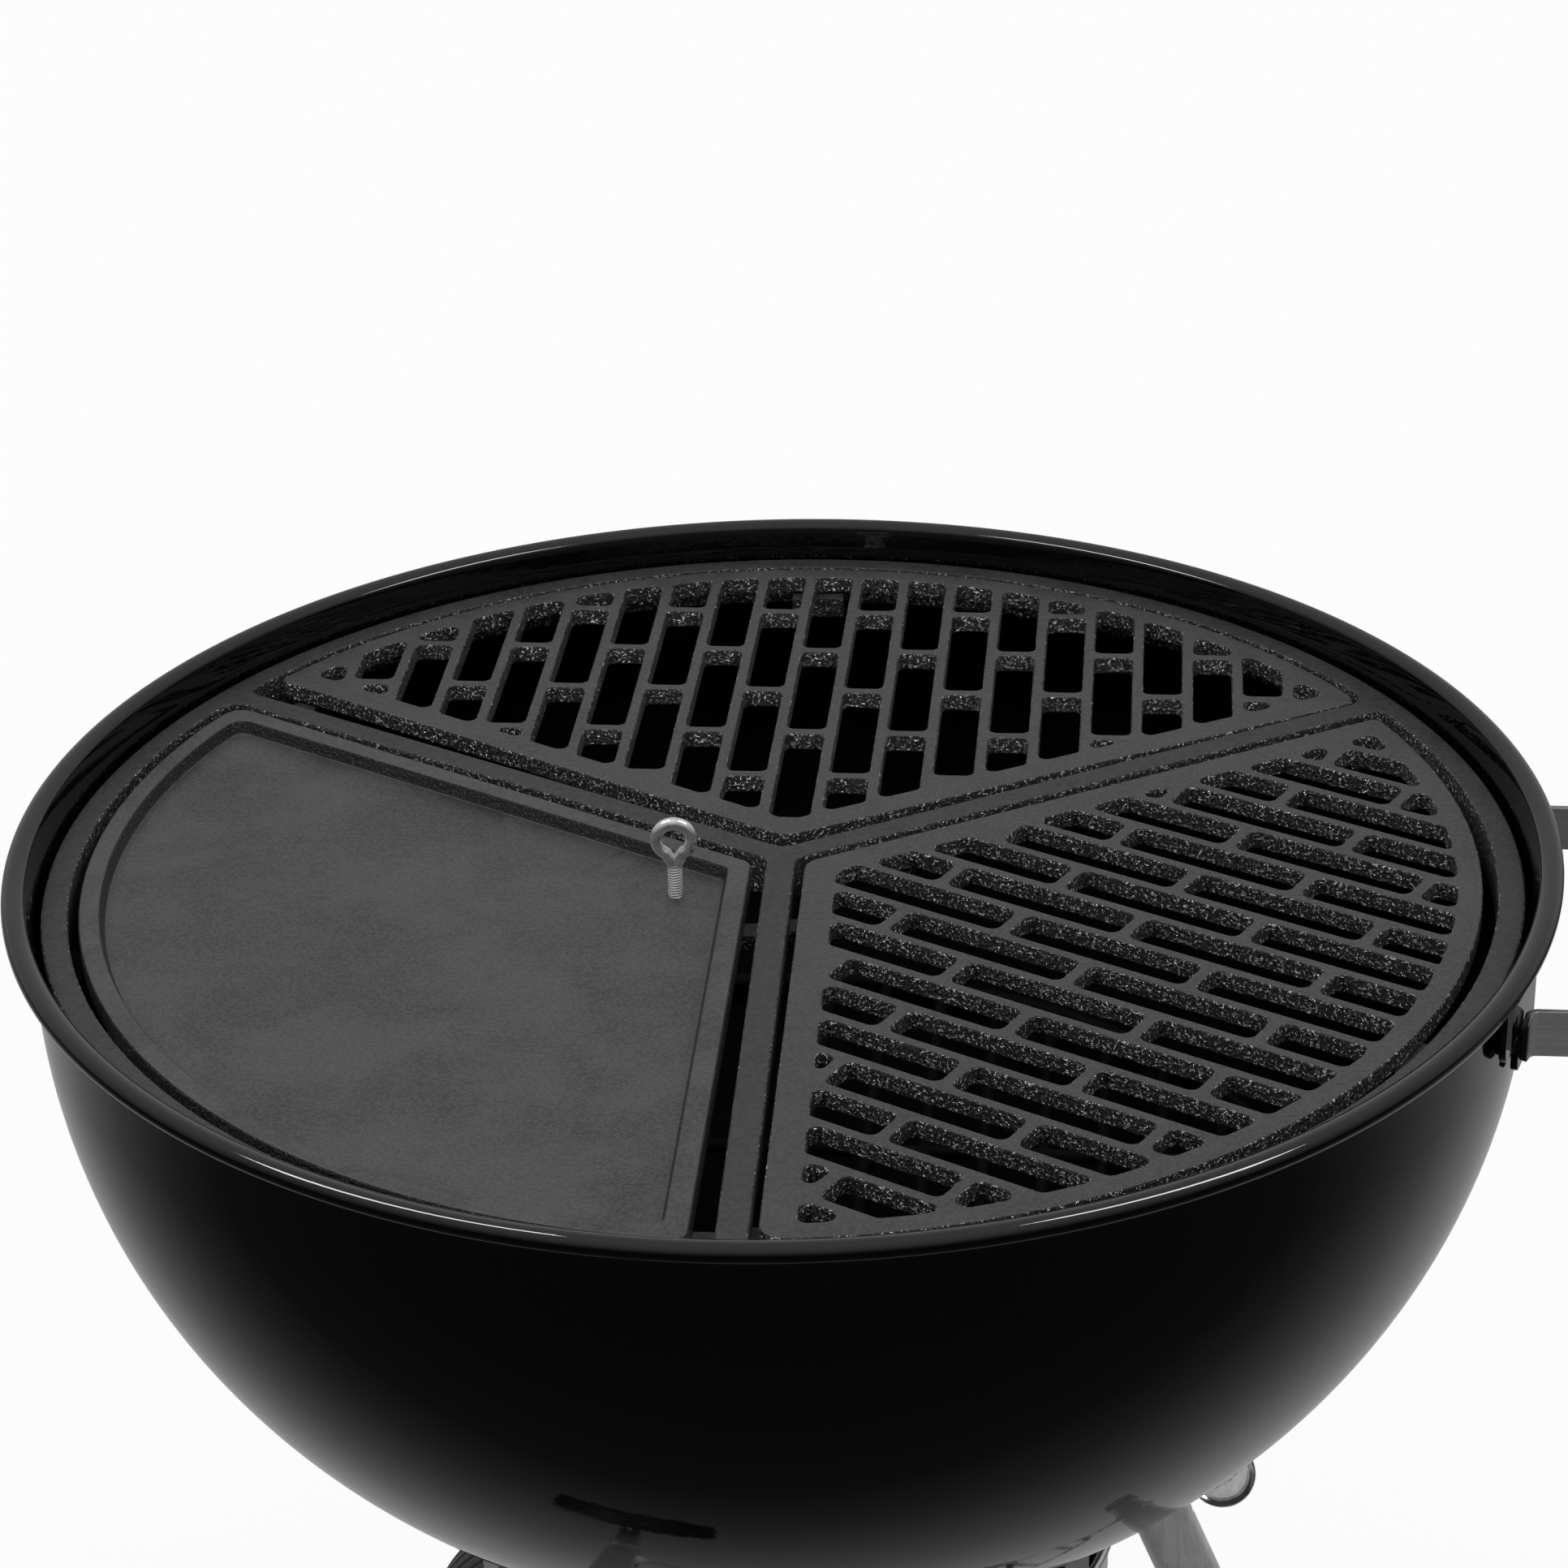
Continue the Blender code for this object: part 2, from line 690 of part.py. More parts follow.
def rack():
    """The wire shelf between the legs, and the collars on the legs, whose tabs hold its corners."""
    corner = leg_radius(RACK_Z) - LEG_R - 0.0075
    wire_wide, cross = 0.0060, 0.0045
    frame_loop = [tuple(polar(corner, azimuth)) for azimuth in (0, 120, 240)]
    inner_loop = [tuple(polar(corner - 2 * wire_wide, azimuth)) for azimuth in (0, 120, 240)]
    outer, inner = rounded(frame_loop, 0.016, 4), rounded(inner_loop, 0.010, 4)
    loops = [outer]
    first, spacing = -corner / 2 + wire_wide, 0.0300
    for index in range(11):
        left, right = first + index * spacing + cross / 2, first + (index + 1) * spacing - cross / 2
        loop = [(left, -0.3), (right, -0.3), (right, 0.3), (left, 0.3)]
        for i, start in enumerate(inner):
            run = Vector(inner[(i + 1) % len(inner)]) - Vector(start)
            loop = clipped(loop, start, Vector((-run.y, run.x)))
        loop = merged(loop)
        if len(loop) > 2 and area(loop) > SMALLEST_SLOT:
            loops.append(loop)
    place(plate("lower_rack", loops, RACK_Z - 0.0025, RACK_Z + 0.0025), "steel")
    for side, azimuth in LEG_AZIMUTHS.items():
        top, low = RACK_Z + 0.007, RACK_Z - 0.007
        frame = leg_frame(azimuth, top, low)
        clip = sleeve(
            f"rack_clip_{side}", LEG_R + 0.0004, 0.0152, 0.0152, leg_length(top, low), frame, 16
        )
        # A tab from the collar's wall to under the rack's corner.
        start, end = (polar(leg_radius(RACK_Z) - inward, azimuth) for inward in (0.0458, 0.0125))
        tab_z = RACK_Z - 0.0025 - GAP - TAB_THICK / 2
        at = Matrix.Translation((*((start + end) / 2), tab_z)) @ turn_z(azimuth)
        join(clip, box(f"rack_tab_{side}", ((end - start).length, 0.012, TAB_THICK), at))
        place(clip, "steel")


# ---------------------------------------------------------------- under the bowl


def damper():
    """Rotor with three blades inside the bowl, its shaft, the lever under the bowl, and the lever's pull."""
    hub_z = COOK_Z + bowl_z(0.0, SHEET) + 0.0012
    disc = [(0.100, 0), (0.065, 0), (0.030, 0), (0.0056, 0)]
    lift = 0.0012
    under = [(r, COOK_Z + bowl_z(r, SHEET) + lift) for r, _ in disc]
    over = [(r, z + 0.0014) for r, z in under]
    blades = turned("damper_rotor", over[:1] + under + over[:0:-1], 48)
    for index in range(3):
        gap = [(0.0, 0.0)] + arc((0, 0), 0.14, 120 * index + 18, 120 * index + 102, 3)
        inner = arc((0, 0), 0.018, 120 * index + 102, 120 * index + 18, 3)
        loop = gap[1:] + inner
        cutter = plate(f"blade_gap_{index}", [loop], COOK_Z - 0.30, COOK_Z - 0.22)
        cut(blades, cutter)
    place(blades, "steel")
    lever_low = LEVER_Z - 0.00125
    shaft = turned(
        "damper_shaft",
        [
            (0.0, hub_z + 0.0075),
            (0.0085, hub_z + 0.0060),
            (0.0085, hub_z + 0.0024 + GAP),
            (0.0050, hub_z + 0.0024 + GAP),
            (0.0050, lever_low - 0.0080),
            (0.0, lever_low - 0.0080),
        ],
        16,
        closed=False,
    )
    place(shaft, "steel")
    nut_top = lever_low - GAP
    nut = plate("damper_nut", [circle(0.0090, 6), circle(0.0053, 16)], nut_top - 0.0050, nut_top)
    place(nut, "zinc")
    lever()


def lever():
    half, thick = 0.0050, 0.0025
    reach, bend, end = 0.1585, 0.1330, -0.0140
    low = LEVER_Z - thick / 2
    side = [
        (0.0, low),
        (bend, low),
        (reach, low + end),
        (reach, low + end + thick),
        (bend, low + thick),
        (0.0, low + thick),
    ]
    upright = turn_z(LEVER_AZIMUTH) @ Matrix.Rotation(radians(90), 4, "X")
    obj = plate("damper_lever", [side], -half, half, upright)
    boss = rod("lever_boss", (0, 0, low + 0.0001), (0, 0, low + thick - 0.0001), 0.0115, 20)
    bore = rod("lever_bore", (0, 0, low - 0.01), (0, 0, low + 0.01), 0.0053, 16)
    cut(join(obj, boss), bore)
    place(obj, "steel")
    roll, disc_r = 0.0016, 0.0121
    profile = [(0.0, 0.0006)] + [(disc_r - 0.0035, 0.0006), (disc_r - roll, 0.0)]
    ring = arc((disc_r, 0.0), roll, 150, -150, 6)
    profile += ring + [(disc_r - 0.0035, -0.0008), (0.0, -0.0008)]
    centre = polar(0.1736, LEVER_AZIMUTH, COOK_Z - 0.2968)
    facing = Vector((-0.05, -0.80, 0.60))
    pull = turned("lever_pull", profile, 24, closed=False, matrix=along(centre, centre + facing))
    place(pull, "zinc")


def ash_catcher():
    """The skirt on the bowl, three spring clips, and the bucket with its handle."""
    top = COOK_Z + bowl_z(SKIRT_R) - 0.0014
    low = BUCKET_TOP - 0.0100
    ring = [(SKIRT_R, top), (SKIRT_R, low), (SKIRT_R - 0.0014, low), (SKIRT_R - 0.0014, top)]
    skirt = turned("ash_skirt", ring, 48)
    slot = arc((0, 0), 0.125, LEVER_AZIMUTH - 8, LEVER_AZIMUTH + LEVER_TURN + 8, 8)
    slot += arc((0, 0), 0.085, LEVER_AZIMUTH + LEVER_TURN + 8, LEVER_AZIMUTH - 8, 8)
    cut(skirt, plate("lever_slot", [slot], LEVER_Z - 0.0045, LEVER_Z + 0.0045))
    place(skirt, "enamel")
    for index, azimuth in enumerate((90, 210, 330)):
        radius = BUCKET_R + 0.0040
        clip_top = COOK_Z + bowl_z(radius + 0.0016) - 0.0012
        strip = [
            (radius, clip_top),
            (radius + 0.0016, clip_top),
            (radius + 0.0016, BUCKET_TOP - 0.0100),
            (radius + 0.0006, BUCKET_TOP - 0.0100),
            (radius + 0.0002, BUCKET_TOP - 0.0040),
            (radius, BUCKET_TOP + 0.0040),
        ]
        upright = turn_z(azimuth) @ Matrix.Rotation(radians(90), 4, "X")
        place(plate(f"bucket_clip_{index + 1}", [strip[::-1]], -0.009, 0.009, upright), "steel")
    wall = 0.0014
    floor = BUCKET_TOP - BUCKET_TALL
    lip = arc((BUCKET_R + 0.0012, BUCKET_TOP), 0.0022, 110, -110, 4)
    bucket = [
        (0.0, floor + wall),
        (BUCKET_R - 0.0115, floor + wall),
        (BUCKET_R - 0.0040 - wall, floor + 0.0088),
        (BUCKET_R - wall, BUCKET_TOP - 0.0040),
        (BUCKET_R - wall, BUCKET_TOP + 0.0010),
    ]
    bucket += lip + [
        (BUCKET_R, BUCKET_TOP - 0.0040),
        (BUCKET_R - 0.0040, floor + 0.0080),
        (BUCKET_R - 0.0110, floor),
        (0.0, floor),
    ]
    place(turned("ash_bucket", bucket, 48, closed=False), "aluminium")
    bucket_handle()


def bucket_handle():
    """A bent wire handle on the bucket's front."""
    z = BUCKET_TOP - 0.045
    inner = BUCKET_R - 0.0018 + 0.0032 + GAP
    half, out = 0.045, 0.036
    points = [
        (inner, -half - 0.012, z + 0.004),
        (inner + 0.006, -half, z),
        (inner + out - 0.008, -half, z),
        (inner + out, -half + 0.008, z),
        (inner + out, half - 0.008, z),
        (inner + out - 0.008, half, z),
        (inner + 0.006, half, z),
        (inner, half + 0.012, z + 0.004),
    ]
    turn = turn_z(-60)
    place(wire("bucket_handle", [turn @ Vector(p) for p in points], 0.0030), "steel")


# ---------------------------------------------------------------- the handle


def handle():
    """Two ears welded under the bead, two strap arms bolted to them, and the grip between the arms."""
    for side, sign in (("front", -1), ("rear", 1)):
        handle_ear(side, sign)
        handle_arm(side, sign)
        handle_bolt(side, sign)
    ends = ARM_Y - ARM_THICK / 2 - GAP
    z = COOK_Z + ARM_Z
    profile = [
        (0.0, 2 * ends),
        (GRIP_R - 0.0015, 2 * ends),
        (GRIP_R, 2 * ends - 0.0030),
        (GRIP_R, 0.0030),
        (GRIP_R - 0.0015, 0.0),
        (0.0, 0.0),
    ]
    frame = along((GRIP_X, -ends, z), (GRIP_X, ends, z))
    place(turned("handle_grip", profile, 24, closed=False, matrix=frame), "plastic")
    for side, sign in (("front", -1), ("rear", 1)):
        outer = sign * (ARM_Y + ARM_THICK / 2 + GAP)
        screw = [(0.0, 0.0030), (0.0030, 0.0028), (0.0050, 0.0), (0.0, 0.0)]
        frame = along((GRIP_X, outer, z), (GRIP_X, outer + sign, z))
        place(turned(f"grip_screw_{side}", screw, 16, closed=False, matrix=frame), "zinc")


def ear_frame(sign):
    """On the wall at an ear's azimuth: X round the bowl away from the middle, Y up, Z out."""
    facing = Matrix(((0, 0, 1, 0), (sign, 0, 0, 0), (0, 1, 0, 0), (0, 0, 0, 1)))
    lift = Matrix.Translation((0, 0, COOK_Z))
    return lift @ turn_z(EAR_AZIMUTH * sign) @ Matrix.Translation((EAR_FACE, 0, 0)) @ facing


def handle_ear(side, sign):
    """A plate against the wall under the bead: a short round lobe outside the arm, a longer one inside it."""
    loop = [
        (0.0275, 0.0045),
        (-0.0190, 0.0045),
        (-0.0190, -0.0340),
        (0.0045, -0.0340),
        (0.0045, -0.0140),
        (0.0105, -0.0140),
        (0.0105, -0.0200),
        (0.0275, -0.0200),
    ]
    loop = rounded(loop, [0.0, 0.0, 0.009, 0.003, 0.0, 0.0, 0.005, 0.008], 4)
    return place(plate(f"handle_ear_{side}", [loop], 0.0, EAR_THICK, ear_frame(sign)), "enamel")


def handle_arm(side, sign):
    """A flat bar on edge: it leaves along X, and its short foot turns out along the ear, to which it is welded."""
    turn = radians(EAR_AZIMUTH)
    radial, outward = Vector((cos(turn), sin(turn))), Vector((-sin(turn), cos(turn)))
    near, far = EAR_FACE + EAR_THICK + GAP, EAR_FACE + EAR_THICK + GAP + ARM_THICK
    inner, outer = ARM_Y - ARM_THICK / 2, ARM_Y + ARM_THICK / 2

    def on_face(distance, y):
        """The point at this y on the line that is this far out along the ear's azimuth."""
        return radial * distance + outward * ((y - radial.y * distance) / cos(turn))

    loop = [
        on_face(near, inner),
        Vector((ARM_REACH, inner)),
        Vector((ARM_REACH, outer)),
        on_face(far, outer),
        on_face(far, outer) + outward * ARM_FOOT,
        on_face(near, outer) + outward * ARM_FOOT,
    ]
    loop = rounded(loop, [0.0050, 0.0, 0.0, 0.0030, 0.0, 0.0], 3)
    loop = [(x, sign * y) for x, y in loop]
    low = COOK_Z + ARM_Z - ARM_TALL / 2
    return place(plate(f"handle_arm_{side}", [loop], low, low + ARM_TALL), "steel")


def handle_bolt(side, sign):
    """The bolt that holds an ear's inner lobe to the bowl."""
    head = [(0.0, 0.0036), (0.0042, 0.0036), (0.0048, 0.0028), (0.0048, 0.0), (0.0, 0.0)]
    at = Matrix.Translation((BOLT_IN, ARM_Z - 0.0040, EAR_THICK + GAP))
    obj = turned(f"handle_bolt_{side}", head, 6, closed=False, matrix=ear_frame(sign) @ at)
    return place(obj, "zinc")


bowl()
cooking_ledges()
carrier()
slot_grate("rear_slot_grate", "rear")
slot_grate("right_slot_grate", "right")
griddle()
eye_bolt()
charcoal_grate()
tripod()
wheels()
rack()
damper()
ash_catcher()
handle()
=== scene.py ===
from math import asin, atan2, cos, degrees, pi, radians, sin, sqrt, tan

import bmesh
import bpy
from mathutils import Matrix, Vector
from mathutils.geometry import tessellate_polygon


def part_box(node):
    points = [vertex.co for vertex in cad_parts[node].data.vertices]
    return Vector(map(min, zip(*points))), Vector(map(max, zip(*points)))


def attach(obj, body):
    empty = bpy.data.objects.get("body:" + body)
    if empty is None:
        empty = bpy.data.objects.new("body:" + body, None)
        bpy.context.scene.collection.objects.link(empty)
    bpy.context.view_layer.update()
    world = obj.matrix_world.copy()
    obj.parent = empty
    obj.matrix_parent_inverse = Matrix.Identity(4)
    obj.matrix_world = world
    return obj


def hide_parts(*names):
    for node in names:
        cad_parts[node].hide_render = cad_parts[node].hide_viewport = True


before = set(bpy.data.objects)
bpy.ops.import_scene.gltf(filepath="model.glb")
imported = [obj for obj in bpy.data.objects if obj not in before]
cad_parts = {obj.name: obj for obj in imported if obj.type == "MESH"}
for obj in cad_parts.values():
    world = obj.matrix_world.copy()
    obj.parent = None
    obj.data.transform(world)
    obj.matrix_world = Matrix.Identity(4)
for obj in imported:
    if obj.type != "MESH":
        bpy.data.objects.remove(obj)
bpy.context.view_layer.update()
scene = bpy.context.scene

# ---------------- places taken from the frame


def shift(x, y, z):
    return Matrix.Translation((x, y, z))


def middle(node):
    low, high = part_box(node)
    return (low + high) / 2


def size(node):
    low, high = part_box(node)
    return high - low


AXIS_X = middle("grate_carrier").x  # the bowl's axis
COOK_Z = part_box("grate_carrier")[1].z  # the cooking plane
RING_OUT = size("grate_carrier").x / 2
CARRIER_DEEP = size("grate_carrier").z
GRATE_THICK = size("rear_slot_grate").z
GRIDDLE_THICK = size("griddle_plate").z
ON_AXIS = shift(AXIS_X, 0, 0)
ON_COOK = shift(0, 0, COOK_Z)
UPRIGHT = Matrix.Rotation(radians(90), 4, "X")

# Heights that belong to the bowl are given from COOK_Z, radii from the bowl's axis, in metres.
GAP = 0.0003
BOWL_A, BOWL_B, BOWL_MID = 0.2755, 0.2550, -0.018
SHEET = 0.0016
BEAD_R, BEAD_Z, BEAD = 0.2812, 0.0107, 0.0036
# The rim's broad top: its radius, and where the lean of the wall meets it.
RIM_CROWN, RIM_SHOULDER = 0.0070, 40.0
ROLL_END = -132.0  # how far round the bead is rolled
FLOOR_R, FLOOR_DIP = 0.105, 0.0083
BOWL_STEPS, WALL_STEPS = 240, 52
VENT_LOW, VENT_HIGH, VENT_HALF_DEG = 0.045, 0.090, 13.5
HUB_HOLE = 0.0056
SOOT_BELOW = 0.020  # how far under the cooking plane the enamel turns dull

RING_IN = 0.2620
CARRIER_TURN = 1.6
SPOKE_HALF = 0.0054
SPOKE_AZIMUTHS = (-90.0, 30.0, 150.0)
INSERT_INSET, INSERT_R = 0.0103, 0.2580
SEATS = {"rear": (0.0, 0.0026), "right": (-118.6, -0.0015), "left": (120.9, 0.0004)}
SLOT_PITCH, SLOT_WIDE = 0.01997, 0.0155
BAR_STEP, BAR_FIRST, BAR_THICK = 0.03774, 0.0632, 0.0050
SLOT_INSET, SLOT_R = 0.0224, 0.2490
SLOT_ROUND = 0.0032
SMALLEST_SLOT = 28e-6  # in square metres: smaller ones are not cast
RECESS_INSET, RECESS_R, RECESS_DEEP = 0.0189, 0.2500, 0.0050
EYE_AT, EYE_UP = (-0.0370, -0.0240), 0.0230

ARM_Y, ARM_TALL, ARM_THICK, ARM_Z = 0.078, 0.018, 0.0026, -0.022
ARM_REACH, ARM_FOOT = 0.352, 0.0075
BOLT_IN, FOOT_ROUND = -0.0110, 0.0050
EAR_AZIMUTH, EAR_THICK, EAR_FACE = 17.0, 0.0026, BOWL_A + 0.0007
GRIP_X, GRIP_R = 0.340, 0.0125

LEG_R, LEG_BORE = 0.0120, 0.0105
LEG_SLOPE = tan(radians(22.0))
LEG_REF_R, LEG_REF_Z = 0.1488, COOK_Z - 0.300
LEG_AZIMUTHS = {"right": 0.0, "front": -120.0, "rear": 120.0}
LEG_TOP, LEG_LOW = COOK_Z - 0.262, {"right": 0.022, "front": 0.060, "rear": 0.060}
SOCKET_TOP, SOCKET_LOW = COOK_Z - 0.222, COOK_Z - 0.268
FOOT_TOP, FOOT_R = 0.058, 0.0150
WHEEL_R = size("wheel_front").z / 2
WHEEL_WIDE = size("wheel_front").y
WHEEL_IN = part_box("wheel_rear")[0].y
WHEEL_AT = middle("wheel_rear").x - AXIS_X
AXLE_R = 0.0045
RACK_Z = middle("lower_rack").z
TAB_REACH, TAB_ROOT, TAB_THICK = 0.0458, 0.0125, 0.0022

BUCKET_R = 0.1265
BUCKET_TOP = COOK_Z - 0.2910
BUCKET_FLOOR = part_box("ash_bucket")[0].z
SKIRT_R = 0.1040
LEVER_AZIMUTH, LEVER_TURN, LEVER_Z, LEVER_THICK = 10.0, 60.0, COOK_Z - 0.2755, 0.0025
CHARCOAL_Z = middle("charcoal_grate").z
CHARCOAL_R = size("charcoal_grate").x / 2


# ---------------- plane outlines


def turn_z(angle):
    return Matrix.Rotation(radians(angle), 4, "Z")


def polar(radius, angle, z=None):
    x, y = radius * cos(radians(angle)), radius * sin(radians(angle))
    return Vector((x, y)) if z is None else Vector((x, y, z))


def arc(centre, radius, first, last, steps):
    angles = [radians(first + (last - first) * i / steps) for i in range(steps + 1)]
    return [Vector((centre[0] + radius * cos(a), centre[1] + radius * sin(a))) for a in angles]


def circle(radius, steps, centre=(0, 0)):
    return arc(centre, radius, 0, 360, steps)[:-1]


def rounded(loop, radii, steps=5):
    """A loop with each corner rounded, by its own radius or one for all. Radius 0 keeps a corner."""
    made = []
    count = len(loop)
    for i in range(count):
        radius = radii[i] if isinstance(radii, (list, tuple)) else radii
        before, here, after = (Vector(loop[(i + k) % count]) for k in (-1, 0, 1))
        to_before, to_after = before - here, after - here
        half = to_before.angle(to_after) / 2
        room = 0.49 * min(to_before.length, to_after.length)
        if radius <= 0 or half > radians(86):
            made.append(here)
            continue
        back = min(radius / tan(half), room)
        first = here + to_before.normalized() * back
        centre_way = (to_before.normalized() + to_after.normalized()).normalized()
        centre = here + centre_way * (back / cos(half))
        begin = first - centre
        sweep = begin.angle_signed(here + to_after.normalized() * back - centre)
        for k in range(steps + 1):
            made.append(centre + Matrix.Rotation(-sweep * k / steps, 2) @ begin)
    return made


def clipped(loop, point, inward):
    """The part of a loop on the inward side of a line through a point."""
    made = []
    for i, here in enumerate(loop):
        before = loop[i - 1]
        here_in = (Vector(here) - Vector(point)).dot(inward)
        before_in = (Vector(before) - Vector(point)).dot(inward)
        if here_in * before_in < 0:
            made.append(Vector(before).lerp(Vector(here), before_in / (before_in - here_in)))
        if here_in >= 0:
            made.append(Vector(here))
    return made


def inside(loop, limit):
    """A convex loop cut back to a convex limit, both anticlockwise."""
    for i, start in enumerate(limit):
        run = Vector(limit[(i + 1) % len(limit)]) - Vector(start)
        if loop:
            loop = clipped(loop, start, Vector((-run.y, run.x)))
    return loop


def area(loop):
    pairs = zip(loop, loop[1:] + loop[:1])
    return abs(sum(a[0] * b[1] - b[0] * a[1] for a, b in pairs)) / 2


def spaced(loop, least):
    """Without points closer than least to the one before."""
    made = []
    for point in loop:
        if not made or (point - made[-1]).length > least:
            made.append(point)
    if len(made) > 1 and (made[0] - made[-1]).length <= least:
        made.pop()
    return made


def rectangle(wide, tall, radius=0.0, steps=4):
    x, y = wide / 2, tall / 2
    return rounded([(-x, -y), (x, -y), (x, y), (-x, y)], radius, steps)


# ---------------- solid shapes


class Shape:
    """Vertices and faces of one piece, added to by the functions below."""

    def __init__(self):
        self.verts = []
        self.faces = []

    def point_rows(self, rows):
        starts = []
        for row in rows:
            starts.append(len(self.verts))
            self.verts.extend(Vector(p) for p in row)
        return starts

    def loft(self, rows, ends=True):
        """Closed rings of points joined row to row. A row of one point is a tip."""
        starts = self.point_rows(rows)
        for k in range(len(rows) - 1):
            a, b, count = starts[k], starts[k + 1], max(len(rows[k]), len(rows[k + 1]))
            for i in range(count):
                n = (i + 1) % count
                if len(rows[k]) == 1:
                    self.faces.append((a, b + n, b + i))
                elif len(rows[k + 1]) == 1:
                    self.faces.append((a + i, a + n, b))
                else:
                    self.faces.append((a + i, a + n, b + n, b + i))
        if ends:
            for start, row in ((starts[0], rows[0]), (starts[-1], rows[-1])):
                if len(row) > 2:
                    self.faces.append(tuple(range(start, start + len(row))))
        return self

    def thick(self, upper, lower, present=lambda row, column: True):
        """Two grids of points that close on themselves, with walls at their ends and round missing cells."""
        a, b = self.point_rows(upper), self.point_rows(lower)
        rows, columns = len(upper) - 1, len(upper[0])
        for r in range(rows):
            for c in range(columns):
                if not present(r, c):
                    continue
                n = (c + 1) % columns
                self.faces.append((a[r] + c, a[r] + n, a[r + 1] + n, a[r + 1] + c))
                self.faces.append((b[r] + c, b[r + 1] + c, b[r + 1] + n, b[r] + n))
                sides = (
                    ((r - 1, c), (r, c), (r, n)),
                    ((r + 1, c), (r + 1, n), (r + 1, c)),
                    ((r, (c - 1) % columns), (r + 1, c), (r, c)),
                    ((r, n), (r, n), (r + 1, n)),
                )
                for (r2, c2), (r3, c3), (r4, c4) in sides:
                    if 0 <= r2 < rows and present(r2, c2):
                        continue
                    self.faces.append((a[r3] + c3, b[r3] + c3, b[r4] + c4, a[r4] + c4))
        return self

    def turned(self, profile, steps, matrix=Matrix(), closed=False):
        """A profile in (radius, height) turned round Z. Closed joins its last point to its first."""
        rows = []
        for r, z in profile:
            ring = [matrix @ Vector((*polar(r, 360 * i / steps), z)) for i in range(steps)]
            rows.append(ring[:1] if r < 1e-6 else ring)
        return self.loft(rows + rows[:1] if closed else rows, ends=not closed)

    def slab(self, loops, sections, matrix=Matrix()):
        """A flat outline with holes through it. Sections are (grow, height) from the lowest up."""
        signs = [1.0] + [-1.0] * (len(loops) - 1)
        caps = {0: [], len(sections) - 1: []}
        for loop, sign in zip(loops, signs):
            normals = edge_normals(loop, sign)
            rows = [
                [matrix @ Vector((*(p + n * grow), z)) for p, n in zip(loop, normals)]
                for grow, z in sections
            ]
            starts = len(self.verts)
            self.loft(rows, ends=False)
            for k in caps:
                edge = [p + n * sections[k][0] for p, n in zip(loop, normals)]
                caps[k].append((starts + k * len(loop), edge))
        for cap in caps.values():
            index = [start + i for start, points in cap for i in range(len(points))]
            for triangle in tessellate_polygon([[(*p, 0) for p in points] for _, points in cap]):
                self.faces.append(tuple(index[i] for i in triangle))
        return self

    def tube(self, path, radius, segments=16, closed=False):
        """A round wire along a path. Radius may be one number or one for each point."""
        points = [Vector(p) for p in path]
        count = len(points)
        radii = radius if isinstance(radius, list) else [radius] * count
        side, rows = None, []
        for i, here in enumerate(points):
            before = points[i - 1] if closed or i else here
            after = points[(i + 1) % count] if closed or i < count - 1 else here
            way = (after - before).normalized()
            side = way.orthogonal() if side is None else side - way * side.dot(way)
            side.normalize()
            other = way.cross(side)
            angles = [2 * pi * k / segments for k in range(segments)]
            rows.append([here + (side * cos(a) + other * sin(a)) * radii[i] for a in angles])
        if closed:
            # The frame has turned by the time it comes round, so the first row is matched to the last.
            first, last = rows[0], rows[-1]
            shift_by = min(range(segments), key=lambda s: (last[s] - first[0]).length)
            rows.append([first[(i - shift_by) % segments] for i in range(segments)])
        return self.loft(rows, ends=not closed)

    def ball_ended(self, path, radius, segments=16):
        """The same with rounded ends."""
        points = [Vector(p) for p in path]
        first, last = (points[0] - points[1]).normalized(), (points[-1] - points[-2]).normalized()
        extra = [(radius * sin(t), radius * cos(t)) for t in (radians(25), radians(55), radians(80))]
        head = [points[0] + first * (out - radius) for out, _ in reversed(extra)]
        tail = [points[-1] + last * (out - radius) for out, _ in extra]
        radii = [r for _, r in reversed(extra)] + [radius] * (len(points) - 2) + [r for _, r in extra]
        return self.tube(head + points[1:-1] + tail, radii, segments)


def edge_normals(loop, sign):
    """Each point's way out of the solid, lengthened so that both its edges move by the same amount."""
    turn = sum(a.x * b.y - b.x * a.y for a, b in zip(loop, loop[1:] + loop[:1]))
    sign = sign if turn > 0 else -sign
    normals = []
    for i, here in enumerate(loop):
        back = (here - loop[i - 1]).normalized()
        on = (loop[(i + 1) % len(loop)] - here).normalized()
        first, second = Vector((back.y, -back.x)), Vector((on.y, -on.x))
        mean = (first + second).normalized()
        normals.append(mean * sign / max(mean.dot(first), 0.6))
    return normals


def beside(path, distance):
    """An open path in the plane moved to its right by a distance."""
    made = []
    for i, here in enumerate(path):
        back = (here - path[i - 1]).normalized() if i else None
        on = (path[i + 1] - here).normalized() if i < len(path) - 1 else None
        ways = [Vector((way.y, -way.x)) for way in (back, on) if way is not None]
        mean = sum(ways, Vector((0, 0))).normalized()
        made.append(here + mean * distance / max(mean.dot(ways[0]), 0.6))
    return made


def edge_sections(low, high, bevel, steps=3):
    """Sections for a slab with rounded upper and lower edges."""
    angles = [radians(90 * k / steps) for k in range(steps + 1)]
    rises = [(bevel * (cos(a) - 1), bevel * (1 - sin(a))) for a in angles]
    lower = [(grow, low + rise) for grow, rise in reversed(rises)]
    return lower + [(grow, high - rise) for grow, rise in rises]


def sector_grid(path, steps):
    return [[Vector((*polar(p[0], 360 * c / steps), p[1])) for c in range(steps)] for p in path]


def along(start, end):
    """A frame whose origin is start and whose Z runs to end."""
    turn = (Vector(end) - Vector(start)).to_track_quat("Z", "Y")
    return Matrix.Translation(start) @ turn.to_matrix().to_4x4()


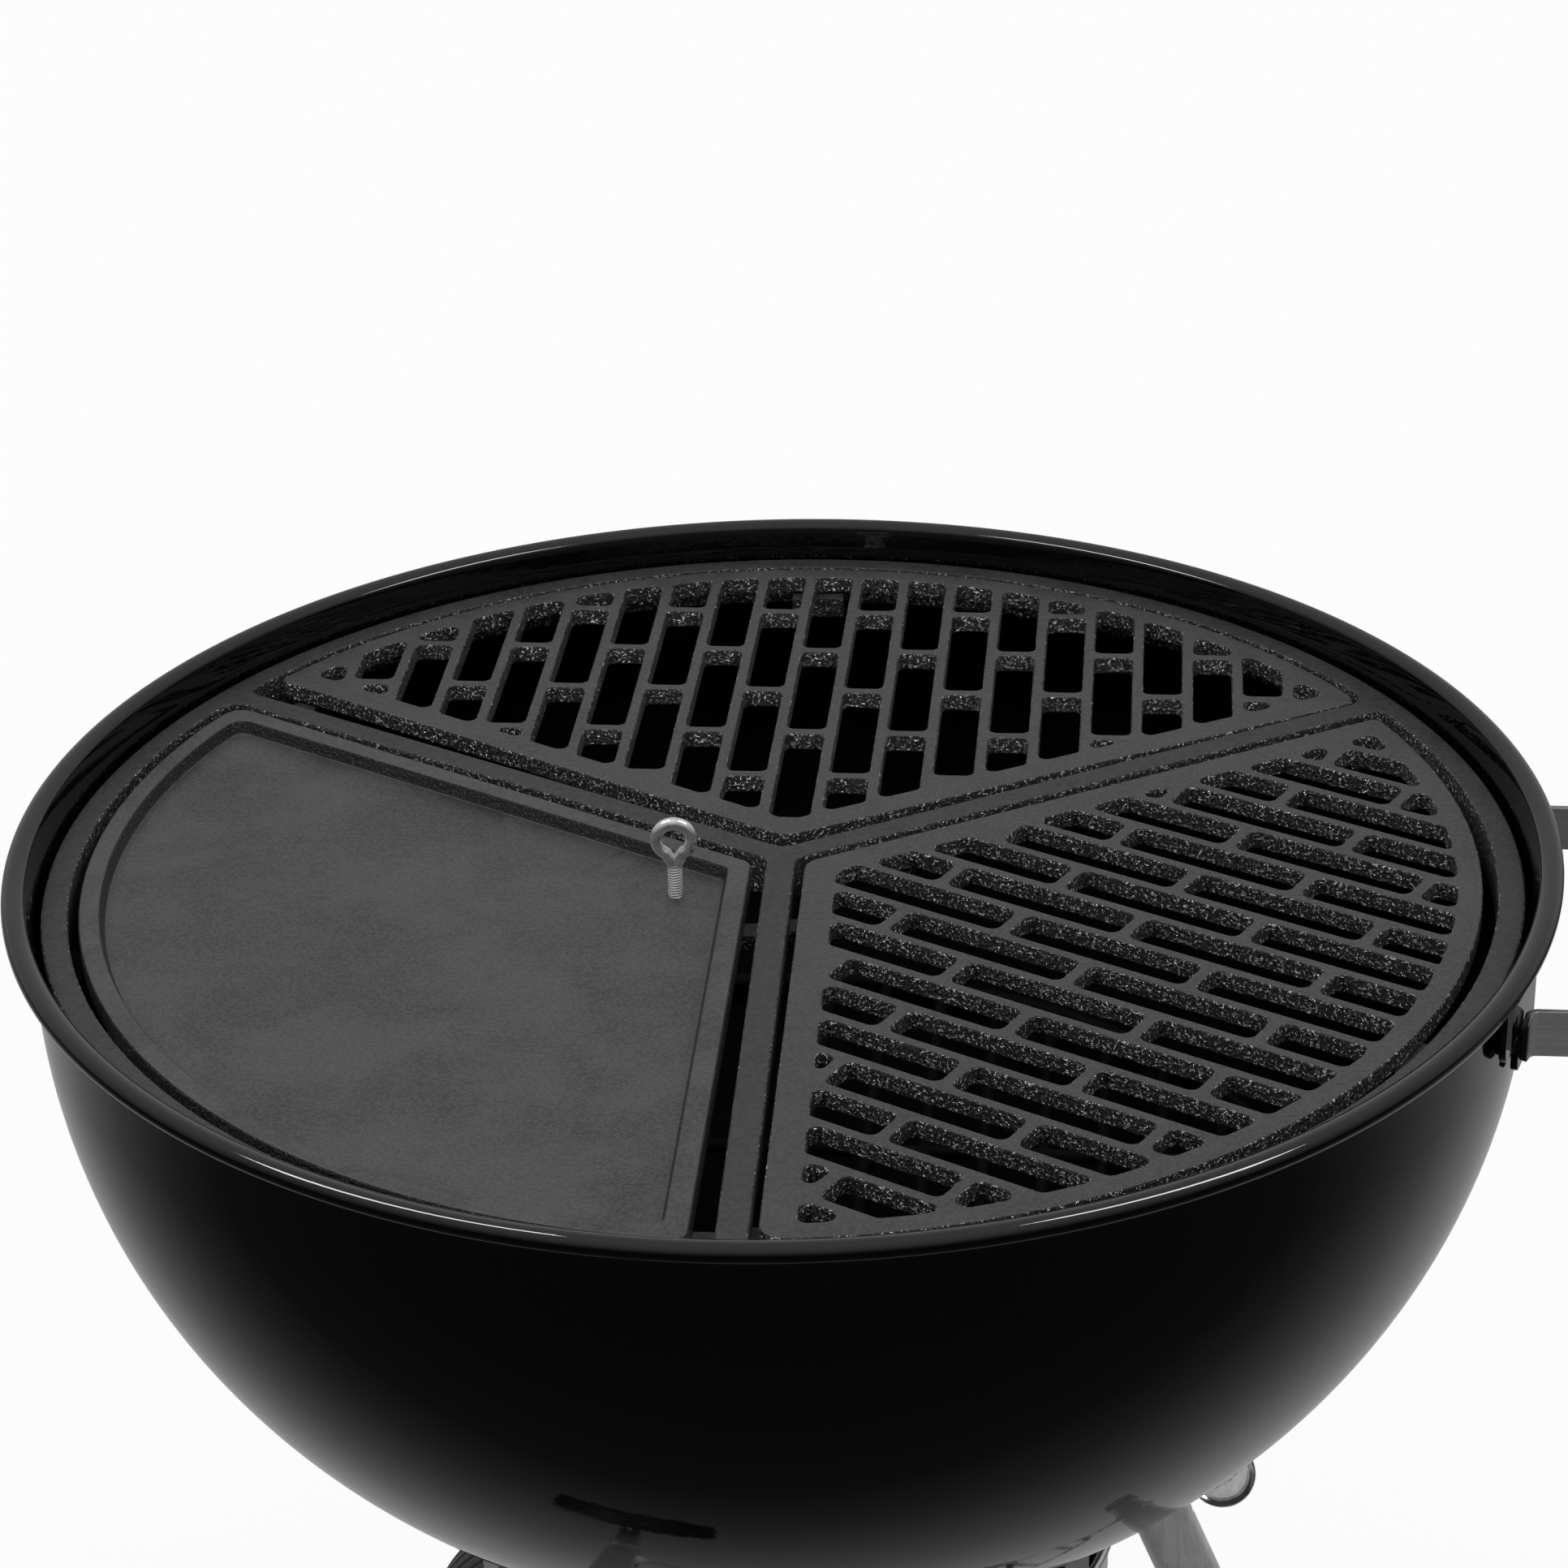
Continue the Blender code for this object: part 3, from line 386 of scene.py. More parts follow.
def add_object(name, data):
    obj = bpy.data.objects.new(name, data)
    scene.collection.objects.link(obj)
    return obj


def piece(name, shape, body, nodes, finish, angle=38.0):
    """Makes a mesh on the bowl's axis, gives it its finish, and ties it to its body and CAD nodes."""
    mesh = bpy.data.meshes.new(name)
    mesh.from_pydata([tuple(ON_AXIS @ v) for v in shape.verts], [], shape.faces)
    solid = bmesh.new()
    solid.from_mesh(mesh)
    bmesh.ops.remove_doubles(solid, verts=solid.verts, dist=1e-6)
    bmesh.ops.recalc_face_normals(solid, faces=solid.faces)
    solid.to_mesh(mesh)
    solid.free()
    mesh.shade_smooth()
    mesh.set_sharp_from_angle(angle=radians(angle))
    obj = add_object(name, mesh)
    weighted = obj.modifiers.new("face_weighted", "WEIGHTED_NORMAL")
    weighted.keep_sharp = True
    mesh.materials.append(FINISHES[finish])
    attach(obj, body)
    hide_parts(*nodes)
    return obj


# ---------------- finishes


class Nodes:
    """A node tree being built: short calls for the nodes that it is made of."""

    def __init__(self, tree):
        self.tree = tree

    def link(self, out, into):
        self.tree.links.new(out, into)

    def node(self, kind, output, inputs=None, **settings):
        """Adds a node, sets or links its inputs by name or number, and gives one of its outputs."""
        made = self.tree.nodes.new("ShaderNode" + kind)
        for name, value in settings.items():
            setattr(made, name, value)
        for key, value in (inputs or {}).items():
            if isinstance(value, bpy.types.NodeSocket):
                self.link(value, made.inputs[key])
            else:
                made.inputs[key].default_value = value
        return made.outputs[output]

    def math(self, operation, first, second=0.0):
        return self.node("Math", 0, {0: first, 1: second}, operation=operation)

    def mix(self, share, first, second):
        """Between two greys or colours."""
        inputs = {"Factor": share}
        for key, value in ((6, first), (7, second)):
            inputs[key] = value if isinstance(value, bpy.types.NodeSocket) else (value, value, value, 1)
        return self.node("Mix", 2, inputs, data_type="RGBA")


class Paint(Nodes):
    """A material being built."""

    def __init__(self, name, color, roughness, metallic=0.0, **sockets):
        self.material = bpy.data.materials.new(name)
        self.material.use_nodes = True
        super().__init__(self.material.node_tree)
        self.shader = self.tree.nodes["Principled BSDF"]
        values = {"Base Color": (*color, 1), "Roughness": roughness, "Metallic": metallic, **sockets}
        for socket, value in values.items():
            self.shader.inputs[socket].default_value = value
        self.place = self.node("TexCoord", "Object")

    def stretched(self, scale):
        """Object coordinates scaled by a vector, for brushed and spun patterns."""
        return self.node("Mapping", "Vector", {"Vector": self.place, "Scale": scale})

    def noise(self, scale, detail=2.0, roughness=0.5, distortion=0.0, place=None):
        inputs = {"Vector": place or self.place, "Scale": scale, "Detail": detail}
        return self.node("TexNoise", "Fac", {**inputs, "Roughness": roughness, "Distortion": distortion})

    def span(self, value, low, high, to_low=0.0, to_high=1.0):
        inputs = {"Value": value, "From Min": low, "From Max": high, "To Min": to_low, "To Max": to_high}
        return self.node("MapRange", "Result", inputs, interpolation_type="SMOOTHSTEP")

    def axis(self, letter, vector=None):
        return self.node("SeparateXYZ", letter, {0: vector or self.place})

    def facing_up(self, low, high):
        """1 on a surface that faces up, 0 on a wall."""
        return self.span(self.axis("Z", self.node("NewGeometry", "Normal")), low, high)

    def inside_of(self, axis_x, top):
        """1 on what faces the upright axis or faces up, below a height. 0 elsewhere."""
        normal = self.place.node.outputs["Normal"]
        inward = self.math("MULTIPLY", self.axis("X", normal), self.math("SUBTRACT", self.axis("X"), axis_x))
        inward = self.math("ADD", inward, self.math("MULTIPLY", self.axis("Y", normal), self.axis("Y")))
        faces_in = self.math("LESS_THAN", inward, -0.002)
        faces_up = self.math("GREATER_THAN", self.axis("Z", normal), 0.5)
        either = self.math("MAXIMUM", faces_in, faces_up)
        return self.math("MULTIPLY", either, self.math("LESS_THAN", self.axis("Z"), top))

    def bump(self, height, distance, strength=1.0, under=None):
        inputs = {"Height": height, "Distance": distance, "Strength": strength}
        return self.node("Bump", "Normal", {**inputs, "Normal": under} if under else inputs)

    def finish(self, color=None, roughness=None, normal=None, metallic=None):
        sockets = {"Base Color": color, "Roughness": roughness, "Normal": normal, "Metallic": metallic}
        for socket, value in sockets.items():
            if value is not None:
                self.link(value, self.shader.inputs[socket])
        return self.material


def gloss_enamel():
    """Black enamel: deep gloss with a faint orange peel and specks of dust, dull with soot in the bowl."""
    paint = Paint("gloss_enamel", (0.0006, 0.0006, 0.0006), 0.05)
    peel = paint.bump(paint.noise(260, 1.0), 0.00002)
    wave = paint.bump(paint.noise(16, 1.0), 0.0002, under=peel)
    specks = paint.span(paint.noise(900, 1.0), 0.72, 0.80)
    color = paint.mix(specks, 0.0005, 0.0030)
    gloss = paint.span(paint.noise(38, 3.0), 0.35, 0.75, 0.035, 0.075)
    soot = paint.inside_of(AXIS_X, COOK_Z - SOOT_BELOW)
    paint.link(paint.span(soot, 0.0, 1.0, 0.5, 0.06), paint.shader.inputs["Specular IOR Level"])
    return paint.finish(color, paint.mix(soot, gloss, 0.75), wave)


def cast_iron(name, top_low, top_high, grain, top_rough, glints=0.42):
    """Seasoned cast iron: fine-grained where it lies flat, rough from the sand on its sides, which carry
    painted shade (near black where the flat tops are grey) and painted glints (bright metallic flecks from the
    sand's noise), whose grey is the last argument.
    """
    paint = Paint(name, (0.02, 0.02, 0.02), 0.5)
    top = paint.facing_up(0.80, 0.97)
    clouds = paint.noise(26, 5.0, 0.62, 0.4)
    fine = paint.noise(820 - 1000 * grain, 3.0, 0.75)
    sand = paint.noise(800, 3.0, 0.75)
    top_color = paint.mix(paint.span(clouds, 0.36, 0.64), top_low, top_high)
    flecks = paint.span(fine, 0.43, 0.58)
    top_color = paint.mix(paint.math("MULTIPLY", flecks, 0.24 + 1.2 * grain), top_color, top_high * 2.6)
    # Painted glints: bright flecks picked out by the sand's noise.
    painted_glint = paint.span(sand, 0.56, 0.60)
    # Painted shade: the sides are near black, with the painted glints on them.
    wall_shade_and_glints = paint.mix(painted_glint, 0.002, glints)
    color = paint.mix(top, wall_shade_and_glints, top_color)
    rough_wall = paint.span(sand, 0.44, 0.62, 0.50, 0.24)
    rough_top = paint.span(clouds, 0.30, 0.70, top_rough - 0.05, top_rough + 0.06)
    roughness = paint.mix(top, rough_wall, rough_top)
    wall_strength = paint.math("SUBTRACT", 1.0, paint.math("MULTIPLY", top, 1.0 - grain))
    coarse = paint.bump(sand, 0.0024, wall_strength)
    normal = paint.bump(fine, 0.00020, 0.9, under=coarse)
    # The painted glints are metallic on the sides, not on the flat tops.
    bare = paint.math("MULTIPLY", painted_glint, paint.math("SUBTRACT", 0.8, paint.math("MULTIPLY", top, 0.8)))
    return paint.finish(color, roughness, normal, bare)


def brushed_metal(name, low, high, rough, metallic, lines_along, shade_up_to=None):
    """Drawn lines along an axis, dull patches, a few scuffs, and painted shade, near black and not metallic, up
    to an X if one is given.
    """
    scale = {"x": (5, 700, 700), "z": (500, 500, 9)}[lines_along]
    paint = Paint(name, (high, high, high), rough, metallic)
    lines = paint.noise(1.0, 4.0, 0.65, place=paint.stretched(scale))
    patches = paint.noise(55, 4.0, 0.6)
    scuffs = paint.span(paint.noise(150, 3.0, 0.6, 1.2), 0.70, 0.76)
    shade = paint.mix(paint.span(lines, 0.32, 0.68), low, high)
    shade = paint.mix(paint.math("MULTIPLY", paint.span(patches, 0.45, 0.70), 0.35), shade, low * 0.8)
    shade = paint.mix(paint.math("MULTIPLY", scuffs, 0.75), shade, low * 0.25)
    roughness = paint.span(patches, 0.3, 0.7, rough - 0.06, rough + 0.10)
    normal = paint.bump(lines, 0.00005, 0.8)
    if shade_up_to is None:
        return paint.finish(shade, roughness, normal)
    # Painted shade: near black and not metallic below the given X, for the shade at the bend by the bowl.
    bare = paint.span(paint.axis("X"), shade_up_to - 0.0012, shade_up_to + 0.0006)
    shade = paint.mix(bare, 0.0010, shade)
    return paint.finish(shade, roughness, normal, paint.math("MULTIPLY", bare, metallic))


def cloudy(paint, clouds, shades, roughs, grain, edge=0.3):
    """Soft clouds between two greys and two roughnesses, over a fine grain."""
    shade = paint.mix(paint.span(clouds, edge, 1 - edge), *shades)
    return paint.finish(shade, paint.span(clouds, 0.3, 0.7, *roughs), grain)


def plain_steel():
    """Zinc-plated sheet and wire: slightly cloudy, with small pits."""
    paint = Paint("plated_steel", (0.45, 0.45, 0.46), 0.36, 1.0)
    pits = paint.bump(paint.noise(500, 3.0), 0.00006, 0.6)
    return cloudy(paint, paint.noise(60, 4.0, 0.6), (0.36, 0.52), (0.30, 0.44), pits)


def dark_steel():
    """Steel painted near black for the shade inside the bowl: the charcoal grate, the ledges and the rotor."""
    paint = Paint("shade_black_steel", (0.005, 0.005, 0.005), 0.8, 0.0, **{"Specular IOR Level": 0.12})
    # Painted shade: near black in colour, with little reflection.
    scale = paint.bump(paint.noise(700, 3.0), 0.0001, 0.7)
    return cloudy(paint, paint.noise(45, 4.0, 0.6), (0.002, 0.007), (0.66, 0.85), scale)


def bright_zinc(name, metallic):
    """Bright zinc: nearly a mirror, softened by fine tool marks. Less metallic is cloudier."""
    paint = Paint(name, (0.82, 0.82, 0.82), 0.12, metallic)
    marks = paint.bump(paint.noise(420, 3.0), 0.00012, 0.6)
    return cloudy(paint, paint.noise(240, 3.0), (0.66, 0.86), (0.09, 0.18), marks, 0.35)


def moulded_plastic(name, low, high):
    """Nylon with the fine leather grain of a moulding."""
    paint = Paint(name, (high, high, high), 0.50)
    grain = paint.node("TexVoronoi", "Distance", {"Vector": paint.place, "Scale": 750})
    return cloudy(paint, paint.noise(40, 3.0), (low, high), (0.44, 0.58), paint.bump(grain, 0.00012, 0.7))


def spun_aluminium():
    """Spun sheet with rings from the spinning tool outside; inside, painted shade makes it near black, dull and
    not metallic.
    """
    paint = Paint("spun_aluminium", (0.72, 0.72, 0.73), 0.30, 1.0)
    rings = paint.noise(3.0, 3.0, 0.6, place=paint.stretched((5, 5, 900)))
    clouds = paint.noise(25, 3.0)
    # Painted shade: near black and dull on what faces in or up inside the pail.
    inside_shade = paint.inside_of(AXIS_X, BUCKET_TOP - 0.0010)
    shade = paint.mix(paint.span(rings, 0.3, 0.7), 0.62, 0.76)
    shade = paint.mix(inside_shade, shade, paint.mix(paint.span(clouds, 0.3, 0.7), 0.010, 0.030))
    roughness = paint.mix(inside_shade, paint.span(clouds, 0.3, 0.7, 0.24, 0.36), 0.85)
    bare = paint.math("SUBTRACT", 1.0, inside_shade)
    return paint.finish(shade, roughness, paint.bump(rings, 0.00005, 0.6), bare)


FINISHES = {
    "enamel": gloss_enamel(),
    # The last number of each iron is the grey of its painted glints.
    "grate_iron": cast_iron("grate_iron", 0.024, 0.044, 0.08, 0.45, 0.70),
    "griddle_iron": cast_iron("griddle_iron", 0.022, 0.058, 0.07, 0.43, 0.08),
    "carrier_iron": cast_iron("carrier_iron", 0.005, 0.016, 0.36, 0.48, 0.50),
    "leg_steel": brushed_metal("leg_aluminium", 0.60, 0.78, 0.24, 0.62, "z"),
    # The arm's end at the bowl is painted shade, near black.
    "arm_steel": brushed_metal("arm_steel", 0.22, 0.26, 0.34, 0.35, "x", AXIS_X + 0.2690),
    "steel": plain_steel(),
    "dark_steel": dark_steel(),
    "zinc": bright_zinc("bright_zinc", 0.78),
    "pull_zinc": bright_zinc("pressed_zinc", 0.85),
    "aluminium": spun_aluminium(),
    "plastic": moulded_plastic("black_nylon", 0.012, 0.020),
    "grey_plastic": moulded_plastic("grey_nylon", 0.26, 0.32),
}


# ---------------- the bowl


def spheroid_z(radius, inset=0.0):
    a, b = BOWL_A - inset, BOWL_B - inset
    return BOWL_MID - b * sqrt(1 - (radius / a) ** 2)


def bowl_z(radius, inset=0.0):
    """Height of the bowl's surface, from the cooking plane, with its flatter bottom."""
    if radius >= FLOOR_R:
        return spheroid_z(radius, inset)
    return spheroid_z(FLOOR_R, inset) - FLOOR_DIP * (1 - (radius / FLOOR_R) ** 2)


def bowl_path():
    """The inner surface from the hub hole up the wall, over the rolled bead and under it."""
    vent_radii = [VENT_LOW + (VENT_HIGH - VENT_LOW) * k / 5 for k in range(6)]
    path = [Vector((r, bowl_z(r, SHEET))) for r in (HUB_HOLE, 0.018, 0.032, *vent_radii, 0.098)]
    a, b = BOWL_A - SHEET, BOWL_B - SHEET
    start = degrees(atan2(sqrt(1 - (FLOOR_R / a) ** 2), FLOOR_R / a))
    for k in range(WALL_STEPS + 1):
        t = radians(start * (1 - k / WALL_STEPS))
        path.append(Vector((a * cos(t), BOWL_MID - b * sin(t))))
    wall, top = a + 0.0002, BEAD_Z + BEAD
    crown = arc((BEAD_R, top - RIM_CROWN), RIM_CROWN, 90 + RIM_SHOULDER, 90, 10)
    shoulder = crown[0] - Vector((0.0004, 0.0008))
    lean = Vector((wall + 0.0003, 0.0030))
    path += [Vector((wall, -0.0080)), Vector((wall, 0.0010)), lean]
    path += [lean.lerp(shoulder, k / 4) for k in (1, 2, 3)]
    path += [shoulder, crown[0] - Vector((0.0002, 0.00035))]
    return path + crown[:-1] + arc((BEAD_R, BEAD_Z), BEAD, 90, ROLL_END, 24)


def build_bowl():
    path = bowl_path()

    def present(row, column):
        middle_r = (path[row].x + path[row + 1].x) / 2
        from_vent = abs((column + 0.5) * 360 / BOWL_STEPS % 120 - 60)
        return not (VENT_LOW < middle_r < VENT_HIGH and from_vent < VENT_HALF_DEG)

    grids = [lifted(sector_grid(side, BOWL_STEPS)) for side in (path, beside(path, SHEET))]
    piece("kettle_bowl", Shape().thick(*grids, present), "stand", ["bowl"], "enamel", angle=50)


def lifted(grid, z=COOK_Z):
    return [[p + Vector((0, 0, z)) for p in row] for row in grid]


def build_ledges():
    """Bent tabs welded inside the wall, which the carrier rests on."""
    wall, thick, reach, deep = BOWL_A - SHEET - 0.0024, 0.0020, 0.0130, 0.0180
    side = [(-reach, 0), (0, 0), (0, -deep), (-thick, -deep), (-thick, -thick), (-reach, -thick)]
    side = [Vector((wall + x, z)) for x, z in side]
    loop = rounded(side, [0.0006, 0.0015, 0.0006, 0.0006, 0.0, 0.0006], 3)
    for index in range(4):
        at = shift(0, 0, COOK_Z - CARRIER_DEEP - GAP) @ turn_z(15 + 90 * index) @ UPRIGHT
        shape = Shape().slab([loop], edge_sections(-0.011, 0.011, 0.0004), at)
        piece(f"ledge_tab_{index + 1}", shape, "stand", [f"cooking_ledge_{index + 1}"], "dark_steel")


# ---------------- the cast iron set


def sector(inset, radius, steps):
    """A third of a disc about +Y, its straight edges moved in by inset. It starts at the inner corner."""
    first = 30 + degrees(asin(inset / radius))
    return [Vector((0.0, inset / sin(radians(60))))] + arc((0, 0), radius, first, 180 - first, steps)


def rounded_sector(inset, radius, steps, inner_round, outer_round):
    """The same with rounded corners, so that two of them have the same number of points."""
    loop = sector(inset, radius, steps)
    # The arc's first and last steps are kept clear of the corners, so that a corner's rounding has room.
    first = 30 + degrees(asin(inset / radius) + 2.2 * outer_round / radius)
    loop[2:-2] = arc((0, 0), radius, first, 180 - first, steps - 4)
    radii = [inner_round, outer_round] + [0.0] * (len(loop) - 3) + [outer_round]
    return rounded(loop, radii, 8)


def slot_loops():
    """Upright slots in a running bond, cut back where they meet the insert's border."""
    limit = sector(SLOT_INSET, SLOT_R, 26)
    loops = []
    for column in range(-11, 12):
        left, right = (column * SLOT_PITCH + side * SLOT_WIDE / 2 for side in (-1, 1))
        for bar in range(-3 if column % 2 == 0 else -4, 8, 2):
            low = BAR_FIRST + bar * BAR_STEP + BAR_THICK / 2
            high = low + 2 * BAR_STEP - BAR_THICK
            loop = inside([(left, low), (right, low), (right, high), (left, high)], limit)
            loop = spaced(loop, 0.0022)
            if len(loop) > 2 and area(loop) > SMALLEST_SLOT:
                loops.append(rounded(loop, SLOT_ROUND, 5))
    return loops


def seat(insert):
    turn, out = SEATS[insert]
    return ON_COOK @ turn_z(turn) @ shift(0, out, 0)


def build_slot_grate(insert):
    outer = rounded_sector(INSERT_INSET, INSERT_R, 60, 0.009, 0.008)
    shape = Shape().slab([outer] + slot_loops(), edge_sections(-GRATE_THICK, 0.0, 0.0008), seat(insert))
    name, body, node = (f"{insert}_{word}" for word in ("grate_casting", "grate", "slot_grate"))
    piece(name, shape, body, [node], "grate_iron", angle=50)


def build_griddle():
    """A shallow tray: rounded border, a wall with a small cove, and a flat floor."""
    deep, edge = RECESS_DEEP, 0.0010
    bend = [(edge * (1 - cos(radians(a))), edge * (1 - sin(radians(a)))) for a in (0, 30, 60, 90)]
    outside = [(edge, -GRIDDLE_THICK), (edge * 0.3, -GRIDDLE_THICK + edge * 0.3), (0, -GRIDDLE_THICK + edge)]
    outside += [(across, -down) for across, down in bend]
    cove = [(0.0006, -deep + 0.0016), (0.0008, -deep + 0.0008), (0.0013, -deep + 0.0002), (0.0022, -deep)]
    recess = [(-down, -across) for across, down in bend] + cove
    rows = [(INSERT_INSET + inset, INSERT_R - inset, 60, 0.006, 0.008, z) for inset, z in outside]
    rows += [(RECESS_INSET + inset, RECESS_R - inset, 60, 0.004, 0.006, z) for inset, z in recess]
    at = seat("left")
    loops = [[at @ Vector((*p, row[-1])) for p in rounded_sector(*row[:-1])] for row in rows]
    piece("griddle_casting", Shape().loft(loops), "griddle", ["griddle_plate"], "griddle_iron", angle=50)


def build_carrier():
    """Ring and three spokes in one casting, with the lugs that the inserts rest on."""
    window = rounded_sector(SPOKE_HALF, RING_IN, 72, 0.0060, 0.0070)
    loops = [circle(RING_OUT, 240)]
    loops += [[turn_z(CARRIER_TURN + turn).to_2x2() @ p for p in window] for turn in (0, 120, 240)]
    shape = Shape().slab(loops, edge_sections(COOK_Z - CARRIER_DEEP, COOK_Z, 0.0011))
    for azimuth in SPOKE_AZIMUTHS:
        for side in (-1, 1):
            griddle_side = (azimuth, side) in ((150.0, 1), (-90.0, -1))
            for radius in (0.041, 0.244):
                add_lug(shape, radius, (0.010, 0.020), azimuth, side, griddle_side)
        add_lug(shape, 0.256, (0.020, 0.022), azimuth + 60, 0, azimuth == 150.0)
    piece("carrier_casting", shape, "carrier", ["grate_carrier"], "carrier_iron", angle=50)


def add_lug(shape, radius, lug_size, azimuth, side, under_griddle):
    top = COOK_Z - (GRIDDLE_THICK if under_griddle else GRATE_THICK) - GAP
    low = COOK_Z - CARRIER_DEEP + 0.0004
    at = turn_z(azimuth + CARRIER_TURN) @ shift(radius, side * lug_size[1] / 2, 0)
    shape.slab([rectangle(*lug_size, 0.0015)], edge_sections(low, top, 0.0006), at)


def build_eye_bolt():
    """A bent wire eye that closes in a V onto a threaded shank."""
    wire, eye_r, shank_r = 0.0024, 0.0064, 0.0029
    foot = COOK_Z - GRIDDLE_THICK + 0.0005
    centre = Vector((*EYE_AT, COOK_Z - RECESS_DEEP + EYE_UP))
    across, up = Vector((0.995, 0.10, 0.0)), Vector((0, 0, 1))
    neck = centre - up * (eye_r + 0.0042)
    angles = [radians(-62 + (304 * k / 44)) for k in range(45)]
    ring = [centre + (across * cos(a) + up * sin(a)) * eye_r for a in angles]
    start = [neck + across * 0.0003 - up * 0.0010, neck + across * 0.0009 + up * 0.0008]
    end = [neck - across * 0.0008 + up * 0.0012, neck - across * 0.0003 - up * 0.0006]
    shape = Shape().tube(start + ring + end, wire, 18)
    pitch, depth, turns = 0.00105, 0.00034, 24
    top = neck.z + 0.0006
    count = int((top - foot) / pitch * 8)
    rows = []
    for k in range(count + 1):
        z = foot + (top - foot) * k / count
        fade = min(1.0, (z - foot) / pitch, (top - z) / pitch)
        ridges = [1 - abs(2 * ((z / pitch - i / turns) % 1.0) - 1) for i in range(turns)]
        radii = [shank_r - depth * (1 - ridge * fade) for ridge in ridges]
        rows.append([Vector((*EYE_AT, z)) + polar(r, 360 * i / turns, 0.0) for i, r in enumerate(radii)])
    piece("wire_eye", shape.loft(rows), "eye", ["eye_bolt"], "zinc", angle=60)


def build_charcoal_grate():
    """Parallel rods welded to a ring and two cross rods."""
    ring = CHARCOAL_R - 0.0036
    shape = Shape().tube([polar(ring, 360 * k / 96, CHARCOAL_Z) for k in range(96)], 0.0032, 12, closed=True)
    rods = [(0.0240 * index, False, 0.0028) for index in range(-8, 9)]
    rods += [(-0.070, True, 0.0029), (0.070, True, 0.0029)]
    for offset, crosses, radius in rods:
        reach = sqrt(ring**2 - offset**2) - 0.0005
        path = [(s * reach, offset) if crosses else (offset, s * reach) for s in (-1, 0, 1)]
        shape.ball_ended([(*p, CHARCOAL_Z) for p in path], radius, 10)
    piece("charcoal_rods", shape, "charcoal", ["charcoal_grate"], "dark_steel")


# ---------------- the tripod


def leg_radius(z):
    return LEG_REF_R + (LEG_REF_Z - z) * LEG_SLOPE


def leg_point(azimuth, z):
    return polar(leg_radius(z), azimuth, z)


def leg_frame(azimuth, z_top, z_low):
    """Origin at the upper end, Z down along the leg."""
    return along(leg_point(azimuth, z_top), leg_point(azimuth, z_low))


def leg_length(z_top, z_low):
    return (z_top - z_low) * sqrt(1 + LEG_SLOPE**2)


def ring_profile(bore, outer_top, outer_low, length, edge=0.0008):
    """A sleeve's profile with its outer edges broken."""
    top = [(outer_top - edge, 0.0), (outer_top - edge * 0.3, edge * 0.3), (outer_top, edge)]
    low = [(outer_low - inset, length - up) for inset, up in ((0, edge), (edge * 0.3, edge * 0.3), (edge, 0))]
    return [(bore, 0.0), *top, *low, (bore, length)]


def build_tripod():
    for side, azimuth in LEG_AZIMUTHS.items():
        low = LEG_LOW[side]
        profile = ring_profile(LEG_BORE, LEG_R, LEG_R, leg_length(LEG_TOP, low), 0.0004)
        shape = Shape().turned(profile, 48, leg_frame(azimuth, LEG_TOP, low), closed=True)
        piece(f"{side}_leg_tube", shape, "stand", [f"leg_{side}"], "leg_steel")
        build_socket(side, azimuth)
    build_foot_cap()


def build_socket(side, azimuth):
    """A tapered sleeve welded under the bowl: its top follows the bowl's surface."""
    at, steps = leg_frame(azimuth, SOCKET_TOP, SOCKET_LOW), 48
    down = (at.to_3x3() @ Vector((0, 0, 1))).normalized()
    bore, length = LEG_R + 0.0004, leg_length(SOCKET_TOP, SOCKET_LOW)

    def low_row(radius, height=length):
        return [at @ Vector((*polar(radius, 360 * i / steps), height)) for i in range(steps)]

    def top_row(at_top, at_low):
        return [below_bowl(low, high) for low, high in zip(low_row(at_low), low_row(at_top, 0.0))]

    head, foot = top_row(0.0192, 0.0150), low_row(0.0147)
    ends = [(high, low - down * 0.0004) for high, low in zip(head, foot)]
    wall = [[high.lerp(low, share) for high, low in ends] for share in (0.02, 0.5, 0.97)]
    rows = [top_row(bore, bore), head, *wall, foot, low_row(bore)]
    shape = Shape().loft(rows + rows[:1], ends=False)
    piece(f"{side}_leg_socket", shape, "stand", [f"leg_socket_{side}"], "enamel")


def below_bowl(low, high):
    """The highest point on the line from low to high that is clear of the bowl's outside."""
    for k in range(41):
        point = high.lerp(low, k / 40)
        radius = sqrt(point.x**2 + point.y**2)
        if point.z < COOK_Z + bowl_z(radius) - 0.0008:
            return point
    return low


def build_foot_cap():
    """A closed sleeve that runs on below the floor, and is then cut flat at it."""
    low = -0.010
    length = leg_length(FOOT_TOP, low)
    bore, depth = LEG_R + GAP, leg_length(FOOT_TOP, LEG_LOW["right"] - GAP)
    at = leg_frame(LEG_AZIMUTHS["right"], FOOT_TOP, low)
    down = at.to_3x3() @ Vector((0, 0, 1))
    profile = [(0.0, depth), (bore, depth), (bore, 0.0), (FOOT_R - 0.0007, 0.0), (FOOT_R - 0.0001, 0.0006)]
    profile += [(FOOT_R, z) for z in (0.0012, length * 0.4, length * 0.8, length)] + [(0.0, length)]
    shape = Shape().turned(profile, 40, at)
    for vert in shape.verts:
        if vert.z < 0:
            vert += down * (-vert.z / down.z)
    piece("rubber_foot", shape, "stand", ["foot_cap"], "grey_plastic")


